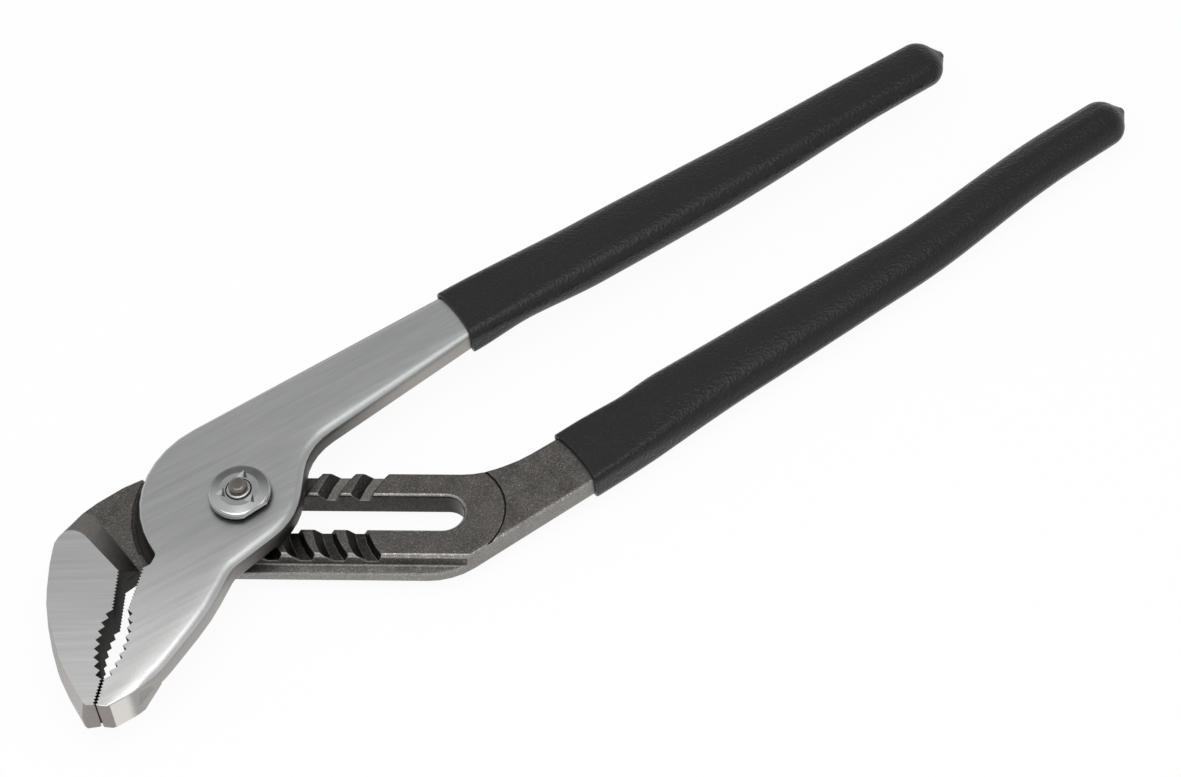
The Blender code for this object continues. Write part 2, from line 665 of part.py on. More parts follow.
def build_bolt():
    """Round head behind the slot, plain shank, thread and the turned-down end."""
    seat = BACK - FIT_GAP
    low = seat - HEAD_HEIGHT
    bead = NUT_FACE + BOLT_BEAD
    top = NUT_FACE + BOLT_END_LENGTH
    profile = [(0.0, low)]
    profile += [(HEAD_DIAMETER / 2 - inset, low + depth) for inset, depth in rim(HEAD_ROUND)[::-1]]
    profile += [
        (HEAD_DIAMETER / 2, seat),
        (SHANK_DIAMETER / 2, seat),
        (SHANK_DIAMETER / 2, -BOLT_SHOULDER),
        (THREAD_DIAMETER / 2, -BOLT_SHOULDER),
    ]
    profile += [(THREAD_DIAMETER / 2 - inset, bead - depth) for inset, depth in rim(BOLT_BEAD)]
    profile.append((BOLT_TIP_DIAMETER / 2, bead))
    profile += [(BOLT_TIP_DIAMETER / 2 - inset, top - depth) for inset, depth in rim(BOLT_EDGE)]
    profile += [(BOLT_DIMPLE[0], top), (0.0, top - BOLT_DIMPLE[1])]
    return turned("pivot_bolt", profile)


def build_nut():
    """Round nut with a rounded rim, a low cone, one flat and three stake marks."""
    bore = THREAD_DIAMETER / 2 + FIT_GAP
    profile = [(bore, FIT_GAP), (NUT_DIAMETER / 2, FIT_GAP)]
    profile += [(NUT_DIAMETER / 2 - inset, NUT_TOP - depth) for inset, depth in rim(NUT_ROUND)]
    profile += [(NUT_DISH_DIAMETER / 2, NUT_FACE), (bore, NUT_FACE)]
    nut = turned("pivot_nut", profile)

    near = polar(NUT_DIAMETER / 2 - NUT_FLAT_DEPTH, NUT_FLAT_ANGLE)
    far = polar(REACH, NUT_FLAT_ANGLE)
    sides = (NUT_FLAT_ANGLE - 90, NUT_FLAT_ANGLE + 90)
    flat = [polar(REACH, sides[0], near), polar(REACH, sides[0], far)]
    flat += [polar(REACH, sides[1], far), polar(REACH, sides[1], near)]
    combine(nut, "DIFFERENCE", prism("flat", [(-REACH, flat), (REACH, flat)]))
    for angle in STAKES:
        base = THREAD_DIAMETER / 2 + STAKE_OFFSET
        at = polar(base, angle)
        mark = [polar(STAKE_WIDTH / 2, angle + turn, at) for turn in (-90, 90)]
        mark.insert(1, polar(base + STAKE_LENGTH, angle))
        middle = polar(base + STAKE_LENGTH / 3, angle)
        pit = [mix(middle, corner, STAKE_FLOOR) for corner in mark]
        levels = [(NUT_FACE - STAKE_DEPTH, pit), (NUT_FACE, mark), (REACH, mark)]
        combine(nut, "DIFFERENCE", prism("stake", levels))
    return nut


def finish(piece, colour, metallic, roughness):
    """Scales to metres, shades and colours a piece."""
    piece.data.transform(Matrix.Scale(MM, 4))
    piece.data.shade_smooth()
    piece.data.set_sharp_from_angle(angle=math.radians(SMOOTH_ANGLE))
    material = bpy.data.materials.new(piece.name)
    material.use_nodes = True
    shader = material.node_tree.nodes["Principled BSDF"]
    shader.inputs["Base Color"].default_value = (*colour, 1.0)
    shader.inputs["Metallic"].default_value = metallic
    shader.inputs["Roughness"].default_value = roughness
    piece.data.materials.clear()
    piece.data.materials.append(material)


def empty(name, parent=None):
    made = bpy.data.objects.new(name, None)
    bpy.context.scene.collection.objects.link(made)
    made.parent = parent
    return made


def assemble(held):
    """Hangs each piece on its empty, then lays the pliers with their lowest middle at the origin."""
    frame = empty("pliers_frame")
    pivot = empty("pivot_axis", frame)
    hinge = empty("jaw_hinge_axis", pivot)
    pieces = []
    for holder, group in zip((frame, pivot, hinge), held):
        for piece in group:
            piece.parent = holder
            pieces.append(piece)
    frame.rotation_euler.z = -math.radians(ROW_ANGLE)
    bpy.context.view_layer.update()
    corners = []
    for piece in pieces:
        corners += [piece.matrix_world @ vertex.co for vertex in piece.data.vertices]
    low = [min(c[k] for c in corners) for k in range(3)]
    high = [max(c[k] for c in corners) for k in range(3)]
    frame.location = (-(low[0] + high[0]) / 2, -(low[1] + high[1]) / 2, -low[2])


def main():
    for old in list(bpy.data.objects):
        bpy.data.objects.remove(old)
    front_handle = Handle(
        at=FRONT_GRIP_AT, angle=FRONT_ANGLE, length=FRONT_GRIP_LENGTH, widths=FRONT_WIDTHS,
        sweep=FRONT_SWEEP, low=-PLATE_THICKNESS, high=0.0, edges=(PLATE_ROUND, PLATE_ROUND),
        ends=FRONT_ENDS,
    )
    rear_handle = Handle(
        at=(LAST + REAR_GRIP_AT[0], REAR_GRIP_AT[1]), angle=REAR_ANGLE, length=REAR_GRIP_LENGTH,
        widths=REAR_WIDTHS, sweep=REAR_SWEEP, low=BACK, high=HANDLE,
        edges=(REAR_ROUND, REAR_BACK_ROUND), ends=REAR_ENDS, flare=REAR_FLARE, swell=REAR_SWELL,
    )
    slotted_lever = build_slotted_lever(rear_handle)
    rear_grip = build_grip("rear_grip", rear_handle)
    bolt = build_bolt()
    nut = build_nut()
    front_lever = build_front_lever(front_handle)
    front_grip = build_grip("front_grip", front_handle)
    finish(slotted_lever, *FORGED)
    finish(front_lever, *BRUSHED)
    for piece in (bolt, nut):
        finish(piece, *PLATED)
    for piece in (rear_grip, front_grip):
        finish(piece, *DIPPED)
    assemble(((slotted_lever, rear_grip), (bolt, nut), (front_lever, front_grip)))


main()
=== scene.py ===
"""Looks of the water pump pliers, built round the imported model.

Sizes are in millimetres in the slot frame: the pivot in its first seat is the origin, +X runs along
the slot to the handles, +Y goes to the front lever's handle, and Z = 0 is the front face of the front
lever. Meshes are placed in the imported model's frame, in metres.
"""

import json
import logging
import math
from dataclasses import KW_ONLY, dataclass
from enum import Enum
from functools import cached_property

import bmesh
import bpy
from mathutils import Matrix, Vector


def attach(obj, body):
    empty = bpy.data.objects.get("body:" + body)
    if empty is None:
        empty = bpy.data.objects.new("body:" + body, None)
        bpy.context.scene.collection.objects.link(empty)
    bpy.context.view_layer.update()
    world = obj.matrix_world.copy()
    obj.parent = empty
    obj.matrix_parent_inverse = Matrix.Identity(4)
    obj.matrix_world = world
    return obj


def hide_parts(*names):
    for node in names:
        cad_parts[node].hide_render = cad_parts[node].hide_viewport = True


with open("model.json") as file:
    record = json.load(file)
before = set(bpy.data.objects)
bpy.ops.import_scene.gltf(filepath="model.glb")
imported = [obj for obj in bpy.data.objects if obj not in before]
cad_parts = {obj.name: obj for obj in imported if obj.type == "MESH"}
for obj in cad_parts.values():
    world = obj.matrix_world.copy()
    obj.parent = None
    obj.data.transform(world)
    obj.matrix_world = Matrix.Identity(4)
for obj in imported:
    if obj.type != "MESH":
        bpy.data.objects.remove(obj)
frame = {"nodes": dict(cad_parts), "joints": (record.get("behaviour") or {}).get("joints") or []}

LOG = logging.getLogger("pliers")
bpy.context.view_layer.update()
MM = 0.001
IMAGE_WIDTH = 1181  # photograph's width in pixels
WELD = 0.000002  # metres below which two points of a mesh are one
FLAT = 0.5  # degrees below which two faces of a copied mesh are one
UPWARD = 0.9  # upright part of a normal over which a face looks up
STEEP = 0.5  # upright part of a normal under which a face is steep, and under minus which it looks down
WALL = 0.3  # upright part of a normal under which a face is a wall
Socket = bpy.types.NodeSocket
Pattern = tuple[Socket, Socket, dict[str, Socket]]


class Body(Enum):
    """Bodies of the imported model."""

    REAR = "rear"
    PIVOT = "pivot"
    FRONT = "front"


class Slot(Enum):
    """Material slots of the record."""

    FORGED = "forged_steel"
    BRUSHED = "brushed_steel"
    PLATED = "plated_steel"
    VINYL = "dipped_vinyl"


class Zone(Enum):
    """Stretches of a steel piece that have a finish of their own."""

    FACE = "face"
    SIDE = "side"
    FLANK = "flank"
    TIP = "tip"
    NOSE = "nose"
    TEETH = "teeth"
    BODY = "body"
    EDGE = "edge"
    CUT = "cut"
    SLOPE = "slope"
    UNDER = "under"
    LEDGE = "ledge"
    FLOOR = "floor"
    LINE = "line"


@dataclass(frozen=True)
class SlotFrame:
    """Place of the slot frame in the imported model.

    Attributes:
        origin: Pivot in its first seat, on the front lever's face, in metres.
        turn: Direction of the slot, in radians.
    """

    origin: Vector
    turn: float

    @classmethod
    def from_joints(cls, joints: list[dict]) -> "SlotFrame":
        """Reads the place from the joints.

        Args:
            joints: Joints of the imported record.

        Returns:
            The slot frame.
        """
        slide = next(joint for joint in joints if joint["type"] == "slide")
        hinge = next(joint for joint in joints if joint["type"] == "hinge")
        return cls(Vector(hinge["pos_m"]), math.atan2(slide["axis"][1], slide["axis"][0]))

    def local(self, point: Vector) -> Vector:
        """Gives a point of the model in the slot frame, in millimetres."""
        return self.direction(point - self.origin) / MM

    def direction(self, vector: Vector) -> Vector:
        """Gives a direction of the model in the slot frame."""
        return Matrix.Rotation(-self.turn, 3, "Z") @ vector

    def world(self, point: tuple[float, float, float]) -> Vector:
        """Gives a point of the slot frame in the model, in metres."""
        return self.origin + Matrix.Rotation(self.turn, 3, "Z") @ Vector(point) * MM


SLOT = SlotFrame.from_joints(frame["joints"])


def linear(colour: str) -> tuple[float, float, float, float]:
    """Turns an sRGB hex colour into linear values.

    Args:
        colour: Colour as #rrggbb.

    Returns:
        Red, green, blue and alpha.
    """
    parts = [int(colour[k:k + 2], 16) / 255 for k in (1, 3, 5)]
    return (*[c / 12.92 if c <= 0.04045 else ((c + 0.055) / 1.055) ** 2.4 for c in parts], 1.0)


def blank(owner: bpy.types.Material | bpy.types.World) -> bpy.types.NodeTree:
    """Empties the node tree of a material or of the surroundings.

    Args:
        owner: The material or the surroundings.

    Returns:
        The empty tree.
    """
    owner.use_nodes = True
    owner.node_tree.nodes.clear()
    return owner.node_tree


def link(name: str, data: bpy.types.ID) -> bpy.types.Object:
    """Puts an object into the scene.

    Args:
        name: Name of the object.
        data: Its mesh, camera or light.

    Returns:
        The object.
    """
    made = bpy.data.objects.new(name, data)
    bpy.context.scene.collection.objects.link(made)
    return made


def add(
    tree: bpy.types.NodeTree, kind: str, inputs: dict | None = None, **settings: object
) -> bpy.types.Node:
    """Adds a node with its settings, values and links.

    Args:
        tree: Tree that gets the node.
        kind: Blender's name of the node.
        inputs: Values or output sockets, by the name or number of the input.
        **settings: Attributes of the node.

    Returns:
        The node.
    """
    node = tree.nodes.new(kind)
    for key, value in settings.items():
        setattr(node, key, value)
    for key, value in (inputs or {}).items():
        if isinstance(value, Socket):
            tree.links.new(value, node.inputs[key])
        else:
            node.inputs[key].default_value = value
    return node


@dataclass(frozen=True)
class Finish:
    """A finish of the pliers.

    Attributes:
        name: Name of the material.
        dark: Darker tone of its colour.
        light: Lighter tone of its colour.
        metallic: Metallic value.
        rough: Lowest and highest roughness.
        relief: Strength of its pattern's bump.
        depth: Depth of its pattern.
        fade: Axis of the slot frame, and the places on it between which the tone gets lighter, as painted
            light and shade.
        gain: How much lighter it gets there.
        painted_edge_shade: How much darker a rounded edge gets, as painted shade that tones down its
            highlight.
        sheen: Specular level.
    """

    name: str
    dark: str
    light: str
    metallic: float
    rough: tuple[float, float]
    _: KW_ONLY
    relief: float
    depth: float
    fade: tuple[str, float, float] = ("Y", -18.0, -60.0)
    gain: float = 0.0
    painted_edge_shade: float = 0.0
    sheen: float = 0.5

    ROUND = 0.85  # upright part of a normal at which a rounded edge gets all of its painted shade

    def pattern(self, tree: bpy.types.NodeTree, place: Socket) -> Pattern:
        """Draws the finish.

        Args:
            tree: Tree of the material.
            place: Place in the slot frame, in millimetres.

        Returns:
            Share of the lighter tone, share of the higher roughness, and inputs of the bump.
        """
        raise NotImplementedError

    def make(self) -> bpy.types.Material:
        """Makes the material.

        Returns:
            The material.
        """
        material = bpy.data.materials.new(self.name)
        tree = blank(material)
        place = add(tree, "ShaderNodeMapping", {
            "Vector": add(tree, "ShaderNodeTexCoord").outputs["Object"],
            "Location": SLOT.origin, "Rotation": (0.0, 0.0, SLOT.turn), "Scale": (MM, MM, MM),
        }, vector_type="TEXTURE").outputs[0]
        tone, rough, bump = self.pattern(tree, place)
        # Painted light and shade: the tone grows lighter along one axis of the slot frame, standing in for
        # uneven light.
        if self.gain:
            axis, start, end = self.fade
            painted_gradient = add(tree, "ShaderNodeMapRange", {
                "Value": add(tree, "ShaderNodeSeparateXYZ", {0: place}).outputs[axis],
                "From Min": start, "From Max": end, "To Max": self.gain,
            }, interpolation_type="SMOOTHSTEP")
            tone = add(tree, "ShaderNodeMath", {
                0: tone, 1: 1.0 - self.gain, 2: painted_gradient.outputs["Result"],
            }, operation="MULTIPLY_ADD").outputs[0]
        # Painted shade: a rounded edge gets darker as its normal tilts, to tone down the highlight it
        # catches.
        if self.painted_edge_shade:
            upright = add(tree, "ShaderNodeSeparateXYZ", {
                0: add(tree, "ShaderNodeNewGeometry").outputs["Normal"],
            }).outputs["Z"]
            kept = add(tree, "ShaderNodeMapRange", {
                "Value": upright, "From Min": 1.0, "From Max": self.ROUND,
                "To Min": 1.0, "To Max": 1.0 - self.painted_edge_shade,
            }).outputs["Result"]
            tone = add(tree, "ShaderNodeMath", {0: tone, 1: kept}, operation="MULTIPLY").outputs[0]
        colour = add(tree, "ShaderNodeMix", {
            0: tone, 6: linear(self.dark), 7: linear(self.light),
        }, data_type="RGBA")
        spread = add(tree, "ShaderNodeMapRange", {
            "Value": rough, "To Min": self.rough[0], "To Max": self.rough[1],
        })
        normal = add(tree, "ShaderNodeBump", {
            "Strength": self.relief, "Distance": self.depth * MM, **bump,
        })
        shader = add(tree, "ShaderNodeBsdfPrincipled", {
            "Base Color": colour.outputs[2], "Metallic": self.metallic, "Specular IOR Level": self.sheen,
            "Roughness": spread.outputs["Result"], "Normal": normal.outputs["Normal"],
        })
        add(tree, "ShaderNodeOutputMaterial", {"Surface": shader.outputs["BSDF"]})
        return material


@dataclass(frozen=True, kw_only=True)
class GroundSteel(Finish):
    """Steel ground on a belt: fine lines one way, which stretch its soft highlights across them.

    Real grit lines are about 0.05 mm wide. They are drawn about 0.2 mm wide, so that they show.

    Attributes:
        turn: Direction of the lines in the slot frame, in degrees.
        line: Length and width of a line.
        streak: Length and width of a broad streak.
        lines: Share of the lines in the tone, the rest is streaks.
        roll: Width of the stretch along the outer edges that the slack belt rolls over, 0 for none.
        rolled: How far its normal follows the edge's.
        outer: Direction to the outer edges, and where on it the rolling sets in and is full.
    """

    turn: float
    line: tuple[float, float] = (8.0, 0.2)
    streak: tuple[float, float] = (36.0, 1.5)
    lines: float = 0.6
    relief: float = 0.09
    depth: float = 0.05
    roll: float = 0.0
    rolled: float = 0.35
    outer: tuple[tuple[float, float, float], float, float] = ((0.957, -0.287, 0.0), -7.0, -2.0)

    SPREAD = (0.3, 0.7)  # values of the noise that give the darkest and the lightest tone

    def pattern(self, tree: bpy.types.NodeTree, place: Socket) -> Pattern:
        """Draws lines, streaks and rolled edges. See Finish.pattern."""
        turn = (0.0, 0.0, math.radians(self.turn))
        fields = []
        for (length, width), detail in ((self.line, 3.0), (self.streak, 2.0)):
            laid = add(tree, "ShaderNodeMapping", {
                "Vector": place, "Rotation": turn, "Scale": (length, width, width),
            }, vector_type="TEXTURE")
            fields.append(add(tree, "ShaderNodeTexNoise", {
                "Vector": laid.outputs[0], "Scale": 1.0, "Detail": detail,
            }).outputs["Fac"])
        lines, streaks = fields
        both = add(tree, "ShaderNodeMix", {0: self.lines, 2: streaks, 3: lines}).outputs[0]
        tone, rough = (
            add(tree, "ShaderNodeMapRange", {
                "Value": grit, "From Min": self.SPREAD[0], "From Max": self.SPREAD[1],
            }).outputs["Result"]
            for grit in (both, streaks)
        )
        bump = {"Height": lines}
        if self.roll:
            ahead, start, full = self.outer
            out = add(tree, "ShaderNodeVectorMath", {0: place, 1: ahead}, operation="DOT_PRODUCT")
            share = add(tree, "ShaderNodeMapRange", {
                "Value": out.outputs["Value"], "From Min": start, "From Max": full, "To Max": self.rolled,
            }).outputs["Result"]
            edge = add(tree, "ShaderNodeBevel", {"Radius": self.roll * MM}, samples=8).outputs["Normal"]
            flat = add(tree, "ShaderNodeNewGeometry").outputs["Normal"]
            bump["Normal"] = add(tree, "ShaderNodeMix", {
                0: share, 4: flat, 5: edge,
            }, data_type="VECTOR").outputs[1]
        return tone, rough, bump


@dataclass(frozen=True, kw_only=True)
class ForgedSteel(Finish):
    """Drop-forged steel under a dark phosphate coat: a fine grain with bare specks, lighter on edges for
    worn coat and a painted glint.

    Real specks are about 0.15 mm wide. They are drawn about twice that size, so that they show.

    Attributes:
        grain: Size of a grain.
        patch: Size of a cloud in the coat.
        speck: Size of a bare speck.
        coat: Share of the lighter tone in the coat's grain.
        bare: How much lighter a speck is.
        edge_band: Width of the stretch along an edge that is rounded in the normal and drawn lighter.
        wear_and_glint: How much lighter an edge gets, for worn coat and a painted glint.
    """

    grain: float = 0.4
    patch: float = 5.0
    speck: float = 0.42
    coat: float = 0.5
    bare: float = 0.55
    relief: float = 0.45
    depth: float = 0.08
    edge_band: float = 0.8
    wear_and_glint: float = 0.8

    GRAIN_SHARE = 0.7  # share of the grain in the coat's tone, the rest is clouds
    # Values that give nothing and all of the coat's lighter tone, of a bare speck and of a lighter edge
    COAT = (0.34, 0.68)
    BARE = (0.58, 0.72)
    WEAR_AND_GLINT = (0.99, 0.8)

    def pattern(self, tree: bpy.types.NodeTree, place: Socket) -> Pattern:
        """Draws grain, clouds, specks and rubbed edges. See Finish.pattern."""
        grain, clouds, specks = (
            add(tree, "ShaderNodeTexNoise", {
                "Vector": place, "Scale": 1 / size, "Detail": detail, "Roughness": 0.65,
            }).outputs["Fac"]
            for size, detail in ((self.grain, 3.0), (self.patch, 3.0), (self.speck, 1.0))
        )
        mixed = add(tree, "ShaderNodeMix", {0: self.GRAIN_SHARE, 2: clouds, 3: grain}).outputs[0]
        rounded = add(tree, "ShaderNodeBevel", {"Radius": self.edge_band * MM}, samples=6).outputs["Normal"]
        flat = add(tree, "ShaderNodeNewGeometry").outputs["Normal"]
        turned = add(tree, "ShaderNodeVectorMath", {
            0: rounded, 1: flat,
        }, operation="DOT_PRODUCT").outputs["Value"]
        # Edges get lighter for coat rubbed off and for a painted glint.
        coat, bare, wear_and_glint_share = (
            add(tree, "ShaderNodeMapRange", {
                "Value": noise, "From Min": low, "From Max": high, "To Max": top,
            }).outputs["Result"]
            for noise, (low, high), top in (
                (mixed, self.COAT, self.coat), (specks, self.BARE, self.bare),
                (turned, self.WEAR_AND_GLINT, self.wear_and_glint),
            )
        )
        patchy = add(tree, "ShaderNodeMath", {0: wear_and_glint_share, 1: grain}, operation="MULTIPLY").outputs[0]
        tone = add(tree, "ShaderNodeMath", {0: coat, 1: bare}, operation="ADD").outputs[0]
        tone = add(tree, "ShaderNodeMath", {0: tone, 1: patchy}, operation="ADD", use_clamp=True).outputs[0]
        return tone, clouds, {"Height": grain, "Normal": rounded}


@dataclass(frozen=True, kw_only=True)
class PlatedSteel(Finish):
    """Zinc-plated turned steel: bright and smooth, with faint clouds and handling marks in its reflections.

    Attributes:
        cloud: Size of a cloud.
        mark: Size of a handling mark.
    """

    cloud: float = 2.5
    mark: float = 0.5
    relief: float = 0.12
    depth: float = 0.05

    def pattern(self, tree: bpy.types.NodeTree, place: Socket) -> Pattern:
        """Draws clouds and marks. See Finish.pattern."""
        clouds, marks = (
            add(tree, "ShaderNodeTexNoise", {
                "Vector": place, "Scale": 1 / size, "Detail": 3.0,
            }).outputs["Fac"]
            for size in (self.cloud, self.mark)
        )
        return clouds, marks, {"Height": marks}


@dataclass(frozen=True, kw_only=True)
class DippedVinyl(Finish):
    """Plastisol vinyl from a dip tank: black, with a leathery grain that breaks its soft sheen into specks.

    Attributes:
        cell: Size of a grain cell.
        cloud: Size of a smoother patch.
    """

    cell: float = 0.7
    cloud: float = 9.0
    relief: float = 1.0
    depth: float = 0.28

    def pattern(self, tree: bpy.types.NodeTree, place: Socket) -> Pattern:
        """Draws cells and patches. See Finish.pattern."""
        grain, clouds = (
            add(tree, "ShaderNodeTexNoise", {
                "Vector": place, "Scale": 1 / size, "Detail": 3.0,
            }).outputs["Fac"]
            for size in (self.cell, self.cloud)
        )
        cells = add(tree, "ShaderNodeTexVoronoi", {
            "Vector": place, "Scale": 1 / self.cell, "Randomness": 1.0,
        }, feature="SMOOTH_F1").outputs["Distance"]
        height = add(tree, "ShaderNodeMix", {0: 0.5, 2: cells, 3: grain}).outputs[0]
        return clouds, grain, {"Height": height}


# Painted light: the front lever's face grows lighter toward the jaw's tip, with painted shade on its
# rounded edges.
FACE_STEEL = GroundSteel(
    "ground_steel_lever", "#a8a9a9", "#e6e6e5", 1.0, (0.3, 0.38), turn=35.0,
    fade=("Y", -6.0, -52.0), gain=0.75, painted_edge_shade=0.5, roll=10.0,
)
# Painted light: the rear jaw's face grows lighter toward its tip.
JAW_STEEL = GroundSteel(
    "ground_steel_jaw", "#b4b5b5", "#d8d8d7", 1.0, (0.34, 0.42), turn=2.0, line=(12.0, 0.2), gain=0.6,
)
# Painted light: the rear jaw's outer side grows lighter toward its tip.
SIDE_STEEL = GroundSteel(
    "milled_steel_side", "#938f8c", "#b7b4b1", 1.0, (0.4, 0.5), turn=35.0, relief=0.2,
    fade=("Y", -40.0, -60.0), gain=0.7,
)
# Painted highlight: the end of the front jaw's side turns almost white toward the tip.
NOSE_HIGHLIGHT_STEEL = GroundSteel(
    "painted_highlight_nose", "#9f9c99", "#e0dcd8", 1.0, (0.4, 0.5), turn=35.0, relief=0.2,
    fade=("Y", -57.8, -59.4), gain=0.9,
)
CHEEK_STEEL = GroundSteel(
    "shaded_jaw_side", "#403c39", "#aba8a5", 1.0, (0.4, 0.5), turn=35.0, relief=0.2,
    fade=("Y", -12.0, -30.0), gain=0.85,
)
UNDER_STEEL = GroundSteel(
    "shaded_shank_side", "#403c39", "#aaa6a2", 1.0, (0.4, 0.5), turn=35.0, relief=0.2,
    fade=("Y", 12.0, 40.0), gain=0.85,
)
TIP_STEEL = GroundSteel("sawn_steel_tip", "#8b8581", "#a19b97", 1.0, (0.45, 0.55), turn=90.0, relief=0.25)
# Lower flank: its edges are drawn much lighter, for worn coat and a painted glint.
FLANK_STEEL = ForgedSteel(
    "worn_and_glinting_flank_steel", "#7b7875", "#b0adaa", 0.9, (0.4, 0.55), relief=0.3, edge_band=1.2, wear_and_glint=1.2,
)
LEDGE_STEEL = ForgedSteel("handled_forged_steel", "#615e5b", "#b9b6b3", 0.9, (0.38, 0.52), edge_band=0.9)
BODY_STEEL = ForgedSteel("phosphated_forged_steel", "#3f3c3a", "#918d89", 0.85, (0.4, 0.55))
SLOPE_STEEL = ForgedSteel(
    "shaded_forged_steel", "#23211f", "#8b8783", 0.85, (0.42, 0.58), fade=("X", -24.0, -40.0), gain=0.5,
)
# Worn rounded edges of the lands, drawn lighter also as a painted highlight.
EDGE_STEEL = ForgedSteel("worn_and_highlit_edge_steel", "#716e6b", "#cfccc9", 0.95, (0.26, 0.42), bare=1.0)
# Painted shade: the grooves, the slot's walls and the bolt's bore are drawn near black.
GROOVE_SHADE_STEEL = ForgedSteel(
    "shaded_groove_steel", "#1e1c1b", "#a39f9b", 0.95, (0.28, 0.4), coat=0.15, bare=0.1,
    relief=0.25, edge_band=0.35, wear_and_glint=2.0,
)
FLOOR_STEEL = ForgedSteel(
    "rubbed_groove_steel", "#6f6c69", "#aaa7a4", 0.95, (0.3, 0.45), relief=0.3, edge_band=0.35,
)
# Painted shade: the teeth, the wall and slope beside the throat, and the sunk ring's floor are drawn dark.
TOOTH_SHADE_STEEL = ForgedSteel(
    "shaded_tooth_steel", "#201e1c", "#4d4a47", 0.8, (0.45, 0.6), bare=0.2, relief=0.25, edge_band=0.2,
)
# Painted shade: the groove at the step before the handle is drawn near black.
STEP_SHADE_STEEL = ForgedSteel(
    "shaded_step_groove_steel", "#0b0a0a", "#24221f", 0.5, (0.6, 0.75), bare=0.3, relief=0.25, edge_band=0.05,
)
NUT_STEEL = PlatedSteel("zinc_plated_steel", "#a4a5a5", "#bdbebe", 1.0, (0.15, 0.24))
# Painted reflection and shade: the nut's cone is darker on one side and lighter on the other.
CONE_STEEL = PlatedSteel(
    "shaded_cone_plating", "#656668", "#d2d3d3", 1.0, (0.15, 0.22), fade=("Y", 5.0, -4.0), gain=0.8,
)
# Painted shade: one flank of each punched mark, and the chamfer under the nut's rim.
SHADE_PLATING = PlatedSteel("painted_shade_plating", "#232322", "#434342", 1.0, (0.18, 0.28))
# Painted highlight: the other flank of each punched mark.
HIGHLIGHT_PLATING = PlatedSteel("painted_highlight_plating", "#c8c9c9", "#e2e3e3", 1.0, (0.14, 0.2))
# The bolt's end is darker and browner than the nut.
BOLT_STEEL = PlatedSteel("dark_bolt_end_steel", "#544f4b", "#958e88", 1.0, (0.2, 0.32))
VINYL = DippedVinyl("dipped_black_vinyl", "#0a0b0c", "#121315", 0.0, (0.2, 0.46), sheen=0.4)


@dataclass
class Piece:
    """A piece of the pliers, which stands for a CAD node.

    Attributes:
        name: Name of the piece.
        node: CAD node that it stands for.
        body: Body that it rides on.
        slot: Slot of its main finish.
    """

    name: str
    node: str
    body: Body
    slot: Slot

    def build(self) -> bpy.types.Object:
        """Makes the piece in its place.

        Returns:
            The piece.
        """
        raise NotImplementedError

    def dress(self, piece: bpy.types.Object) -> None:
        """Gives the piece its finishes, unless it was built with them."""

    def hand_over(self, piece: bpy.types.Object) -> None:
        """Puts the piece in its node's place on its body.

        Args:
            piece: The piece.
        """
        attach(piece, self.body.value)
        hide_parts(self.node)


@dataclass
class SteelPiece(Piece):
    """A steel piece of the pliers: a welded and smoothly shaded copy of its CAD node.

    Attributes:
        finishes: Finish of each of its zones.
        crease: Edges that turn more than this, in degrees, stay sharp.
        level: How much more a large face counts than a small one in a corner's normal.
    """

    finishes: dict[Zone, Finish]
    crease: float = 36.0
    level: int = 90

    def zone(self, at: Vector, out: Vector) -> Zone:
        """Picks the zone of a face.

        Args:
            at: Middle of the face in the slot frame.
            out: Its normal in the slot frame.

        Returns:
            The zone.
        """
        raise NotImplementedError

    def build(self) -> bpy.types.Object:
        """Copies the node's mesh, welds it and shades it. See Piece.build."""
        source = frame["nodes"][self.node].data
        mesh = bpy.data.meshes.new(self.name)
        mesh.from_pydata([v.co for v in source.vertices], [], [p.vertices for p in source.polygons])
        bm = bmesh.new()
        bm.from_mesh(mesh)
        bmesh.ops.remove_doubles(bm, verts=bm.verts, dist=WELD)
        bmesh.ops.dissolve_limit(bm, angle_limit=math.radians(FLAT), verts=bm.verts, edges=bm.edges)
        self.refine(bm)
        for face in bm.faces:
            face.smooth = True
        for edge in bm.edges:
            edge.smooth = edge.calc_face_angle(0.0) < math.radians(self.crease) and not self.ridge(edge)
        bm.to_mesh(mesh)
        bm.free()
        piece = link(self.name, mesh)
        shade = piece.modifiers.new("flat_faces_first", "WEIGHTED_NORMAL")
        shade.weight = self.level
        shade.keep_sharp = True
        return bake(piece)

    def refine(self, bm: bmesh.types.BMesh) -> None:
        """Cuts what the copy shows finer or coarser than the node. Most pieces stay as they are.

        Args:
            bm: Welded copy of the node's mesh.
        """

    def ridge(self, edge: bmesh.types.BMEdge) -> bool:
        """Says whether an edge stays sharp although it turns little. Most pieces have none."""
        return False

    def dress(self, piece: bpy.types.Object) -> None:
        """Gives each face the finish of its zone. See Piece.dress."""
        zones = list(self.finishes)
        for zone in zones:
            piece.data.materials.append(material_of(self.finishes[zone]))
        for face in piece.data.polygons:
            at = SLOT.local(face.center)
            face.material_index = zones.index(self.zone(at, SLOT.direction(face.normal)))


MADE: dict[str, bpy.types.Material] = {}


def material_of(finish: Finish) -> bpy.types.Material:
    """Gives the material of a finish, made once.

    Args:
        finish: The finish.

    Returns:
        Its material.
    """
    if finish.name not in MADE:
        MADE[finish.name] = finish.make()
    return MADE[finish.name]


def bake(piece: bpy.types.Object) -> bpy.types.Object:
    """Turns a piece with modifiers into a plain mesh.

    Args:
        piece: The piece.

    Returns:
        The same piece without modifiers.
    """
    bpy.context.view_layer.update()
    seen = piece.evaluated_get(bpy.context.evaluated_depsgraph_get())
    mesh = bpy.data.meshes.new_from_object(seen)
    mesh.name = piece.name
    piece.modifiers.clear()
    piece.data = mesh
    return piece


